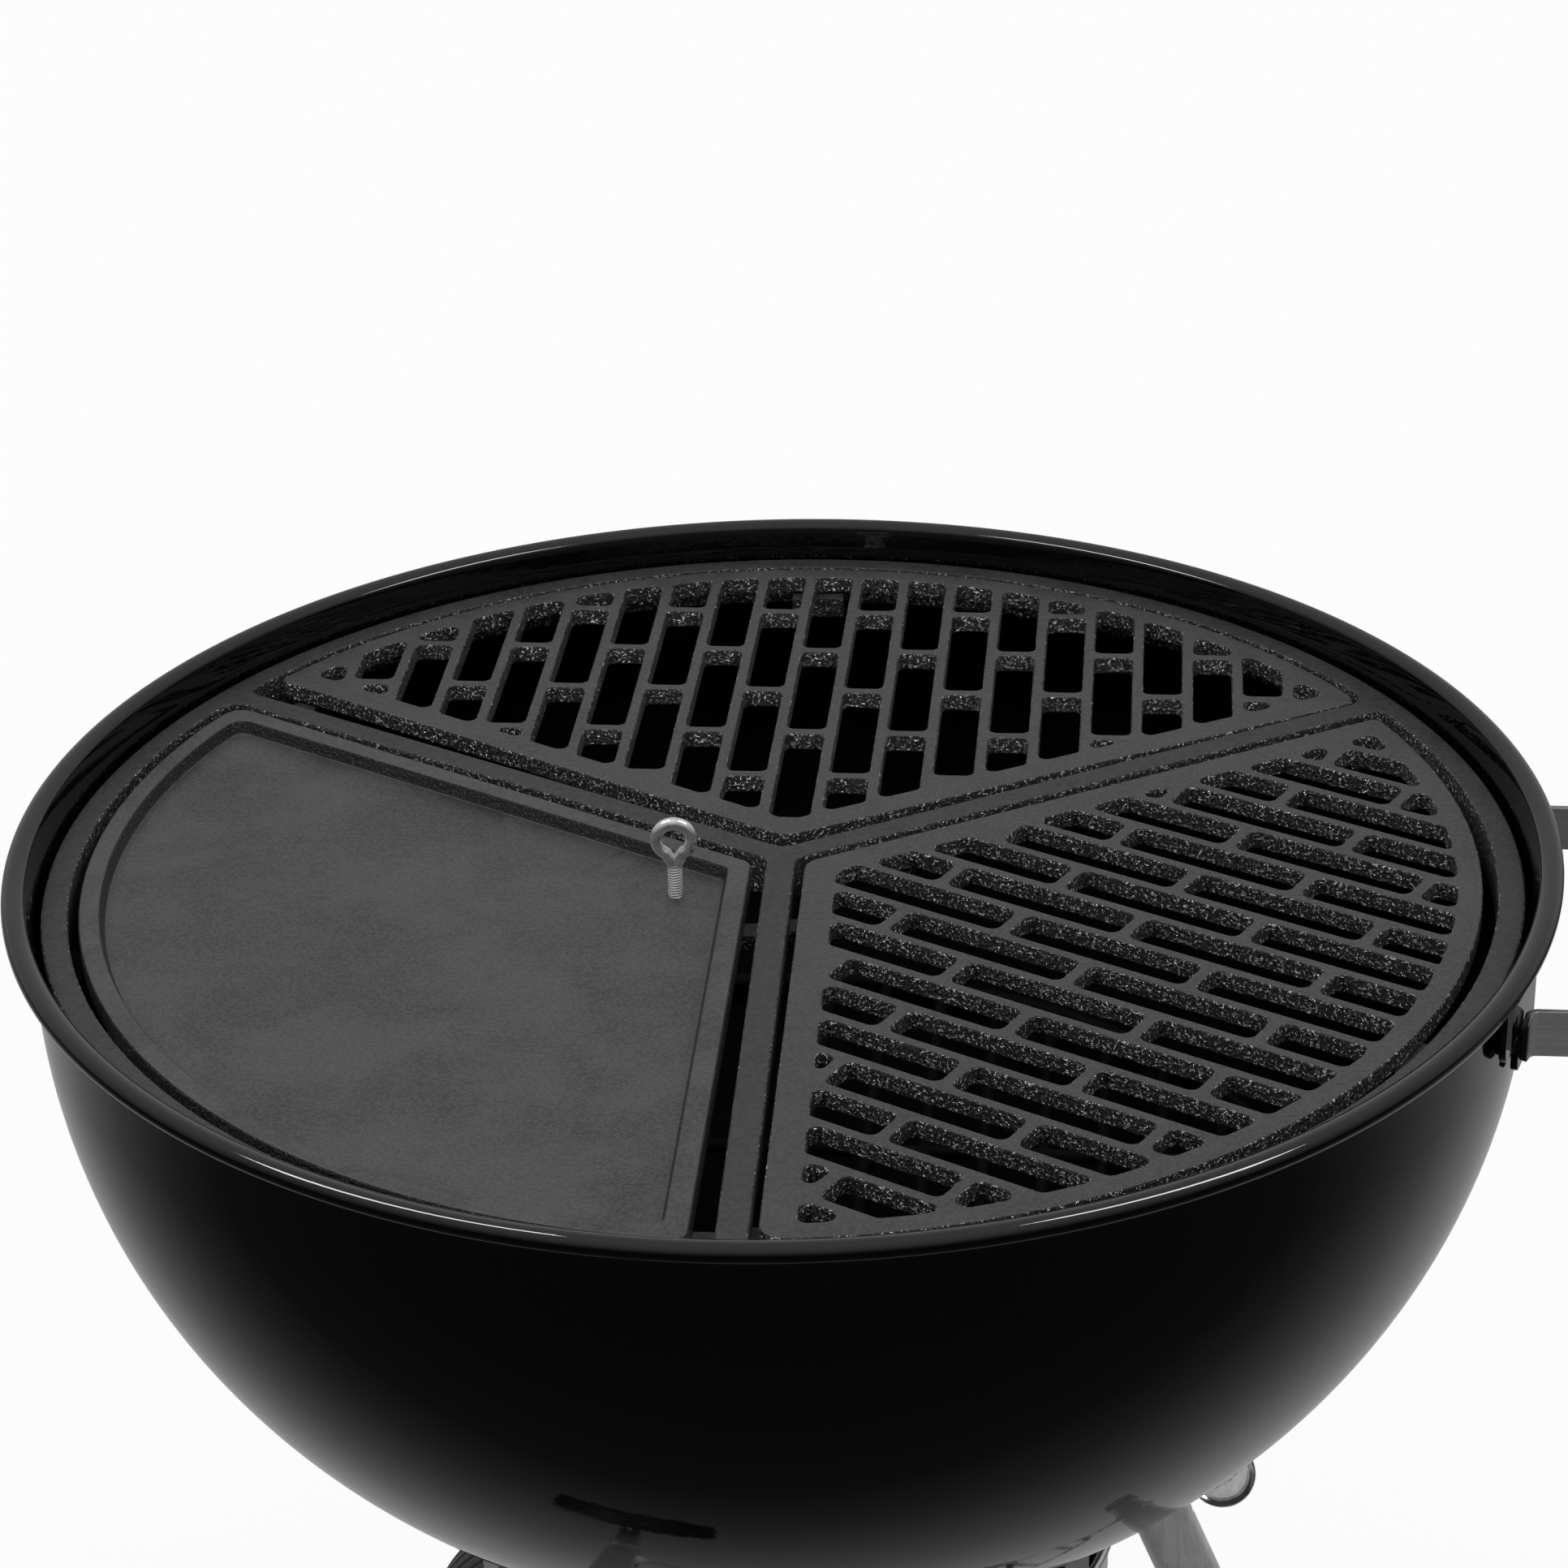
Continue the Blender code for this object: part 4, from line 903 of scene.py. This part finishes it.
def build_wheels():
    """Moulded wheels: grooved tread, dished web with ribs on both faces, and a hub."""
    wide, reach = WHEEL_WIDE, WHEEL_IN + WHEEL_WIDE - 0.004
    ends = [(WHEEL_AT, y, WHEEL_R) for y in (-reach, 0, reach)]
    piece("axle_rod", Shape().ball_ended(ends, AXLE_R, 24), "stand", ["axle"], "steel")
    tread = []
    for k in range(25):
        crown = WHEEL_R - 0.0015 * (2 * k / 24 - 1) ** 2
        groove = 0.0016 if k % 6 == 3 else 0.0
        tread.append((crown - groove, 0.004 + (wide - 0.008) * k / 24))
    half = [(AXLE_R + 0.0004, 0.0), (0.0165, 0.0), (0.0180, 0.0012), (0.0215, 0.0120), (0.0240, 0.0135)]
    half += [(0.0600, 0.0160), (0.0620, 0.0148), (0.0635, 0.0010), (0.0650, 0.0), (WHEEL_R - 0.0065, 0.0)]
    half += [(WHEEL_R - 0.0040, 0.0006), (WHEEL_R - 0.0022, 0.0022)]
    far = [(r, wide - max(y, 0.004 if r < 0.020 else 0.0)) for r, y in reversed(half)]
    dome = [(0, 0), (0.0115, 0), (0.0113, 0.0006), (0.0102, 0.0018), (0.0082, 0.0031), (0.0052, 0.0040)]
    for side, sign in (("front", -1), ("rear", 1)):
        outward = Matrix.Rotation(radians(-90 * sign), 4, "X")
        at = shift(WHEEL_AT, sign * WHEEL_IN, WHEEL_R) @ outward
        shape = Shape().turned(half + tread + far, 96, at, closed=True)
        for k in range(16):
            y = (0.0105, wide - 0.0105)[k % 2]
            rib = at @ turn_z(45 * (k // 2)) @ shift(0.0410, 0, 0)
            shape.slab([rectangle(0.0420, 0.0044, 0.0008)], edge_sections(y - 0.0070, y + 0.0070, 0.0006), rib)
        piece(f"{side}_wheel_moulding", shape, f"{side}_wheel", [f"wheel_{side}"], "plastic")
        cap_at = shift(WHEEL_AT, sign * (WHEEL_IN + wide - 0.004 + GAP), WHEEL_R) @ outward
        cap = Shape().turned(dome + [(0, 0.0044)], 40, cap_at)
        piece(f"{side}_push_cap", cap, "stand", [f"axle_cap_{side}"], "zinc")


def build_rack():
    """The welded wire shelf between the legs, and the collars whose tabs hold its corners."""
    wire, rod, spacing, leg_r = 0.0025, 0.0022, 0.0300, leg_radius(RACK_Z)
    corner = leg_r - LEG_R - 0.0075 - wire * 2
    loop = rounded([polar(corner, azimuth) for azimuth in (0, 120, 240)], 0.016, 8)
    shape = Shape().tube([Vector((*p, RACK_Z)) for p in loop], wire, 14, closed=True)
    first = 0.0060 - wire - corner / 2
    for index in range(1, 11):
        x = first + index * spacing
        reach = (corner - x + 0.0001) / sqrt(3) - 0.0005
        shape.ball_ended([(x, y, RACK_Z) for y in (-reach, 0, reach)], rod, 12)
    piece("rack_wires", shape, "stand", ["lower_rack"], "steel")
    top, low = RACK_Z + 0.007, RACK_Z - 0.007
    collar = ring_profile(LEG_R + 0.0004, 0.0151, 0.0151, leg_length(top, low), 0.0007)
    tab_top = RACK_Z - wire - GAP
    tab = edge_sections(tab_top - TAB_THICK, tab_top, 0.0003)
    for side, azimuth in LEG_AZIMUTHS.items():
        shape = Shape().turned(collar, 40, leg_frame(azimuth, top, low), closed=True)
        at = turn_z(azimuth) @ shift(leg_r - (TAB_REACH + TAB_ROOT) / 2, 0, 0)
        shape.slab([rectangle(TAB_REACH - TAB_ROOT, 0.012, 0.0020)], tab, at)
        piece(f"{side}_rack_collar", shape, "stand", [f"rack_clip_{side}"], "leg_steel")


# ---------------- under the bowl


def build_damper():
    """Rotor with three blades inside the bowl, its shaft, nut, lever and the lever's pull."""
    steps, lift, thick = 240, 0.0012, 0.0014
    radii = [0.0056, 0.018] + [0.030 + 0.070 * k / 8 for k in range(9)]
    path = [Vector((r, bowl_z(r, SHEET) + lift)) for r in radii]

    def blade(row, column):
        angle = ((column + 0.5) * 360 / steps + 60) % 120 - 60
        return row == 0 or abs(angle) < 18

    over, under = (lifted(sector_grid(path, steps), COOK_Z + up) for up in (thick, 0.0))
    piece("rotor_blades", Shape().thick(over, under, blade), "damper", ["damper_rotor"], "dark_steel", angle=45)
    hub_z, low = COOK_Z + bowl_z(0.0, SHEET) + lift, LEVER_Z - LEVER_THICK / 2
    head = [(0.0, 0.0075), (0.0040, 0.0072), (0.0072, 0.0064), (0.0084, 0.0050), (0.0085, 0.0027)]
    shaft = [(r, hub_z + z) for r, z in head + [(0.0050, 0.0027)]]
    shaft += [(0.0050, low - 0.0072), (0.0043, low - 0.0080), (0.0, low - 0.0080)]
    piece("damper_spindle", Shape().turned(shaft, 32), "damper", ["damper_shaft"], "dark_steel")
    sections = edge_sections(low - GAP - 0.0050, low - GAP, 0.0004)
    nut = Shape().slab([circle(0.0090, 6), circle(0.0053, 32)], sections)
    piece("hex_nut", nut, "damper", ["damper_nut"], "zinc", angle=25)
    build_lever()


def build_lever():
    """A strip that bends down to a dished disc with a rolled edge, which is pulled to turn the rotor."""
    half, thick = 0.0050, LEVER_THICK
    reach, bend, end = 0.1585, 0.1330, -0.0140
    low = LEVER_Z - thick / 2
    side = [(0, 0), (bend, 0), (reach, end), (reach, end + thick), (bend, thick), (0, thick)]
    loop = rounded([Vector((x, low + z)) for x, z in side], [0, 0.004, 0.0005, 0.0005, 0.006, 0], 5)
    shape = Shape().slab([loop], edge_sections(-half, half, 0.0007), turn_z(LEVER_AZIMUTH) @ UPRIGHT)
    boss = [circle(0.0115, 48), circle(0.0053, 32)]
    shape.slab(boss, edge_sections(low + 0.0001, low + thick - 0.0001, 0.0005))
    piece("lever_strip", shape, "damper", ["damper_lever"], "steel")
    roll, disc_r = 0.0016, 0.0121
    profile = [(0.0, 0.0012), (0.0099, 0.0011), (0.0102, 0.0008), (0.0108, 0.0000), (0.0111, -0.0001)]
    profile += [(0.0115, 0.0001), (0.0122, 0.0005), (0.0129, 0.0009)]
    profile += arc((disc_r, 0.0), roll, 34, -165, 12) + [(disc_r - 0.0032, -0.0009), (0.0, -0.0009)]
    centre = polar(0.1736, LEVER_AZIMUTH, COOK_Z - 0.2968)
    pull = Shape().turned(profile, 64, along(centre, centre + Vector((-0.05, -0.80, 0.60))))
    piece("lever_disc", pull, "damper", ["lever_pull"], "pull_zinc", angle=50)


def build_ash_catcher():
    """The skirt on the bowl, three spring clips, and the bucket with its handle."""
    top, low, steps = COOK_Z + bowl_z(SKIRT_R) - 0.0014, BUCKET_TOP - 0.0100, 180
    slot_low, slot_high = LEVER_Z - 0.0045, LEVER_Z + 0.0045
    heights = [top, slot_high, slot_low, (slot_low + low) / 2, low + 0.0012, low]

    def wall(row, column):
        angle = (column + 0.5) * 360 / steps
        return not (row == 1 and LEVER_AZIMUTH - 8 < angle < LEVER_AZIMUTH + LEVER_TURN + 8)

    outer, inner = (sector_grid([(r, z) for z in heights], steps) for r in (SKIRT_R, SKIRT_R - 0.0014))
    piece("ash_guide", Shape().thick(outer, inner, wall), "stand", ["ash_skirt"], "enamel", angle=45)
    for index, azimuth in enumerate((90, 210, 330)):
        build_clip(index + 1, azimuth)
    build_bucket()


def build_clip(index, azimuth):
    radius, thick = BUCKET_R + 0.0040, 0.0014
    top, low = COOK_Z + bowl_z(radius + 0.0016) - 0.0012, BUCKET_TOP - 0.0100
    strip = [(0, BUCKET_TOP + 0.0040), (0.0002, BUCKET_TOP - 0.0040), (0.0006, low), (thick, low)]
    loop = [Vector((radius + x, z)) for x, z in strip + [(thick, top), (0, top)]]
    shape = Shape().slab([loop], edge_sections(-0.009, 0.009, 0.0003), turn_z(azimuth) @ UPRIGHT)
    piece(f"spring_clip_{index}", shape, "stand", [f"bucket_clip_{index}"], "steel", angle=30)


def build_bucket():
    """Spun aluminium: rolled lip, a slight taper with two raised rings, and a dished floor."""
    wall, floor, top, bend = 0.0014, BUCKET_FLOOR, BUCKET_TOP, 0.0085
    foot, low, high = BUCKET_R - 0.0140, floor + bend, top - 0.0040
    path = [(0.0, floor + 0.0008), (0.060, floor + 0.0006), (0.085, floor)]
    path += [tuple(p) for p in arc((foot, low), bend, -90, -15, 5)]
    for k in range(41):
        z = low + (high - low) * k / 40
        ring = 0.0004 * sum(max(0.0, 1 - abs(z - (top - at)) / 0.0030) for at in (0.020, 0.030))
        path.append((BUCKET_R - 0.0046 + 0.0044 * k / 40 + ring, z))
    inner = [(x - wall * (x > 0.09), z + wall * (x < BUCKET_R - 0.006)) for x, z in path]
    lip = arc((BUCKET_R + 0.0012, top), 0.0021, -130, 200, 14)
    shape = Shape().turned(path + lip + inner[::-1], 144)
    piece("ash_pail", shape, "bucket", ["ash_bucket"], "aluminium", angle=50)
    build_bucket_handle()


def build_bucket_handle():
    z, inner, half, out = BUCKET_TOP - 0.045, BUCKET_R - 0.0018 + 0.0032 + GAP, 0.045, 0.036
    corners = [(inner, -half - 0.012, z + 0.004), (inner + 0.004, -half, z), (inner + out, -half, z)]
    corners += [(x, -y, z) for x, y, z in reversed(corners)]
    path = [turn_z(-60) @ p for p in bent([Vector(p) for p in corners], 0.009, 6)]
    piece("pail_handle", Shape().ball_ended(path, 0.0029, 18), "bucket", ["bucket_handle"], "steel", angle=60)


def bent(points, radius, steps):
    """A path in space with its corners rounded."""
    made = [points[0]]
    for before, here, after in zip(points, points[1:], points[2:]):
        back = min(radius, 0.45 * (before - here).length, 0.45 * (after - here).length)
        first, last = (here + (end - here).normalized() * back for end in (before, after))
        for k in range(steps + 1):
            t = k / steps
            made.append(first.lerp(here, t).lerp(here.lerp(last, t), t))
    return made + [points[-1]]


# ---------------- the handle


def ear_frame(sign):
    """On the wall at an ear's azimuth: X round the bowl away from the middle, Y up, Z out."""
    facing = Matrix(((0, 0, 1, 0), (sign, 0, 0, 0), (0, 1, 0, 0), (0, 0, 0, 1)))
    return ON_COOK @ turn_z(EAR_AZIMUTH * sign) @ shift(EAR_FACE, 0, 0) @ facing


def build_handle():
    for side, sign in (("front", -1), ("rear", 1)):
        build_ear(side, sign)
        build_arm(side, sign)
        build_bolt(side, sign)
    build_grip()


def build_ear(side, sign):
    """A plate under the bead with a short round lobe outside the arm and a longer one inside it."""
    loop = [(0.0275, 0.0045), (-0.0190, 0.0045), (-0.0190, -0.0340), (0.0050, -0.0340)]
    loop += [(0.0055, -0.0175), (0.0085, -0.0175), (0.0130, -0.0200), (0.0275, -0.0200)]
    loop = rounded([Vector(p) for p in loop], [0.0, 0.0, 0.009, 0.003, 0.001, 0.001, 0.006, 0.008], 8)
    shape = Shape().slab([loop], edge_sections(0.0, EAR_THICK, 0.0005), ear_frame(sign))
    piece(f"{side}_ear_plate", shape, "stand", [f"handle_ear_{side}"], "enamel", angle=50)


def build_arm(side, sign):
    """A flat bar on edge: it leaves along X, and its short foot turns out along the ear."""
    turn = radians(EAR_AZIMUTH)
    radial, outward = Vector((cos(turn), sin(turn))), Vector((-sin(turn), cos(turn)))
    near, far = EAR_FACE + EAR_THICK + GAP, EAR_FACE + EAR_THICK + GAP + ARM_THICK
    inner, outer = ARM_Y - ARM_THICK / 2, ARM_Y + ARM_THICK / 2

    def on_face(distance, y):
        return radial * distance + outward * ((y - radial.y * distance) / cos(turn))

    tip, elbow = on_face(near, outer) + outward * ARM_FOOT, on_face(far, outer)
    loop = [on_face(near, inner), Vector((ARM_REACH, inner)), Vector((ARM_REACH, outer))]
    loop += [elbow, elbow + outward * ARM_FOOT, tip]
    loop = rounded(loop, [0.0050, 0.0006, 0.0006, 0.0028, 0.0005, 0.0005], 8)
    middle_z, half = COOK_Z + ARM_Z, ARM_TALL / 2
    loop = [Vector((p.x, sign * p.y)) for p in loop]
    shape = Shape().slab([loop], edge_sections(middle_z - half, middle_z + half, 0.0006))
    for vert in shape.verts:
        # The foot's end is cut to a round in the plane of the wall.
        from_tip = (tip - Vector((vert.x, sign * vert.y))).dot(outward)
        if from_tip < FOOT_ROUND:
            short = FOOT_ROUND - sqrt(FOOT_ROUND**2 - (FOOT_ROUND - max(from_tip, 0.0)) ** 2)
            vert.z = middle_z + max(short - half, min(half - short, vert.z - middle_z))
    piece(f"{side}_arm_strap", shape, "stand", [f"handle_arm_{side}"], "arm_steel", angle=50)


def build_bolt(side, sign):
    """A hexagon head on a round washer face."""
    frame_at = ear_frame(sign) @ shift(BOLT_IN, ARM_Z - 0.0040, EAR_THICK + GAP)
    shape = Shape().slab([circle(0.0046, 40)], edge_sections(0.0, 0.0008, 0.0002), frame_at)
    hexagon = rounded(circle(0.0045, 6), 0.0004, 2)
    shape.slab([hexagon], edge_sections(0.0006, 0.0035, 0.0005), frame_at)
    piece(f"{side}_hex_bolt", shape, "stand", [f"handle_bolt_{side}"], "zinc", angle=25)


def build_grip():
    """A barrelled grip with a collar at each end and shallow rings, held by two screws."""
    end, z, steps = ARM_Y - ARM_THICK / 2 - GAP, COOK_Z + ARM_Z, 60
    length = 2 * end
    collar = [(0.0022, 0.0), (0.0008, 0.0006), (0.0, 0.0020), (0.0, 0.0055), (0.0009, 0.0066)]
    collar = [(0.0, 0.0)] + [(GRIP_R - inset, y) for inset, y in collar]
    barrel = []
    for k in range(steps + 1):
        swell = 0.0008 * sin(pi * k / steps)
        ring = 0.0005 if k % 5 == 2 else 0.0
        barrel.append((GRIP_R - 0.0010 + swell - ring, 0.0080 + (length - 0.0160) * k / steps))
    profile = collar + barrel + [(r, length - y) for r, y in reversed(collar)]
    shape = Shape().turned(profile, 56, along((GRIP_X, -end, z), (GRIP_X, end, z)))
    piece("grip_barrel", shape, "stand", ["handle_grip"], "plastic")
    head = [(0.0, 0.0), (0.0050, 0.0), (0.0049, 0.0008), (0.0042, 0.0018), (0.0030, 0.0026), (0.0016, 0.0029)]
    head += [(0.0014, 0.0018), (0.0, 0.0018)]
    for side, sign in (("front", -1), ("rear", 1)):
        outer = sign * (ARM_Y + ARM_THICK / 2 + GAP)
        shape = Shape().turned(head, 32, along((GRIP_X, outer, z), (GRIP_X, outer + sign, z)))
        piece(f"{side}_grip_screw", shape, "stand", [f"grip_screw_{side}"], "zinc")


# ---------------- the studio

CAMERA_FROM_AXIS = Vector((0.13288, -1.30594, 0.69620))
CAMERA_AZIMUTH, CAMERA_DOWN, CAMERA_ROLL = 5.746, 26.935, -1.3535
LENS, SENSOR = 91.99, 36.0
BACKDROP, FLOOR_GREY, FLOOR_GLOW = 0.97, 0.30, 0.80
PANEL_AT, PANEL_WIDE, PANEL_TALL, PANEL_RADIANCE = (0.95, -0.05, 2.3), 0.30, 0.9, 18.0


def build_camera():
    camera = bpy.data.cameras.new("camera")
    camera.lens = LENS
    camera.sensor_width = SENSOR
    obj = add_object("camera", camera)
    at = Matrix.Translation(CAMERA_FROM_AXIS + Vector((AXIS_X, 0, COOK_Z)))
    tilt = Matrix.Rotation(radians(90 - CAMERA_DOWN), 4, "X")
    obj.matrix_world = at @ turn_z(CAMERA_AZIMUTH) @ tilt @ Matrix.Rotation(radians(CAMERA_ROLL), 4, "Z")
    scene.camera = obj


def build_floor():
    """A pale floor, bright enough to run on into the backdrop."""
    shape = Shape().slab([rectangle(60, 60)], [(0.0, -0.02), (0.0, -0.0002)])
    mesh = bpy.data.meshes.new("studio_floor")
    mesh.from_pydata([tuple(v) for v in shape.verts], [], shape.faces)
    floor = add_object("studio_floor", mesh)
    glow = {"Specular IOR Level": 0.0, "Emission Color": (1, 1, 1, 1), "Emission Strength": FLOOR_GLOW}
    mesh.materials.append(Paint("pale_floor", (FLOOR_GREY,) * 3, 0.9, **glow).material)
    floor.visible_glossy = False


def build_world():
    """Soft studio light by direction: dark in front and below, brighter behind, brightest overhead."""
    world = bpy.data.worlds.new("studio")
    scene.world = world
    world.use_nodes = True
    world.node_tree.nodes.clear()
    sky = Nodes(world.node_tree)
    way = sky.node("TexCoord", "Generated")
    y, z = (sky.node("SeparateXYZ", letter, {0: way}) for letter in "YZ")

    def curve(value, low, high, stops):
        """A curve of greys over a range: stops are (where in the range, how bright)."""
        share = sky.node("MapRange", "Result", {"Value": value, "From Min": low, "From Max": high})
        color = sky.node("ValToRGB", "Color", {"Fac": share})
        elements = color.node.color_ramp.elements
        while len(elements) < len(stops):
            elements.new(0.5)
        for element, (at, grey) in zip(elements, stops):
            element.position = (at - low) / (high - low)
            element.color = (grey, grey, grey, 1)
        return color

    from_below = sky.math("SUBTRACT", y, sky.math("MULTIPLY", z, 0.6))
    greys = [(-0.3, 0.036), (0.3, 0.047), (0.5, 0.105), (0.66, 0.19), (0.8, 0.28), (0.95, 0.39), (1.1, 0.42)]
    below = curve(from_below, -0.5, 1.2, greys)
    horizon = curve(y, -1.0, 1.0, [(-1.0, 0.13), (-0.5, 0.18), (0.0, 0.25), (0.5, 0.45), (1.0, 0.60)])
    overhead = curve(z, 0.0, 1.0, [(0.0, 0.45), (0.57, 0.60), (0.80, 0.66), (1.0, 0.80)])
    rise = curve(z, 0.0, 1.0, [(0.0, 0.0), (0.15, 0.1), (0.45, 0.65), (0.75, 1.0)])
    above = sky.mix(rise, horizon, overhead)
    around = sky.mix(curve(z, -0.2, 0.2, [(-0.08, 0.0), (0.08, 1.0)]), below, above)
    seen = sky.mix(sky.node("LightPath", "Is Camera Ray"), around, BACKDROP)
    surface = world.node_tree.nodes.new("ShaderNodeOutputWorld").inputs["Surface"]
    sky.link(sky.node("Background", 0, {"Color": seen}), surface)


def build_lights():
    """Two panels overhead that only shiny surfaces see: the bead's streaks and the iron's glints."""
    for name, side in (("panel_left", -1), ("panel_right", 1)):
        light = bpy.data.lights.new(name, "AREA")
        light.shape = "RECTANGLE"
        light.size, light.size_y = PANEL_WIDE, PANEL_TALL
        light.energy = PANEL_RADIANCE * pi * PANEL_WIDE * PANEL_TALL
        panel = add_object(name, light)
        at = Vector((PANEL_AT[0] * side, *PANEL_AT[1:]))
        facing = (Vector((AXIS_X, 0, COOK_Z)) - at).to_track_quat("-Z", "Y")
        panel.matrix_world = Matrix.Translation(at) @ facing.to_matrix().to_4x4()
        panel.visible_diffuse = False


build_camera()
build_floor()
build_world()
build_lights()
build_bowl()
build_ledges()
build_carrier()
build_slot_grate("rear")
build_slot_grate("right")
build_griddle()
build_eye_bolt()
build_charcoal_grate()
build_tripod()
build_wheels()
build_rack()
build_damper()
build_ash_catcher()
build_handle()

scene.view_settings.view_transform = "Standard"
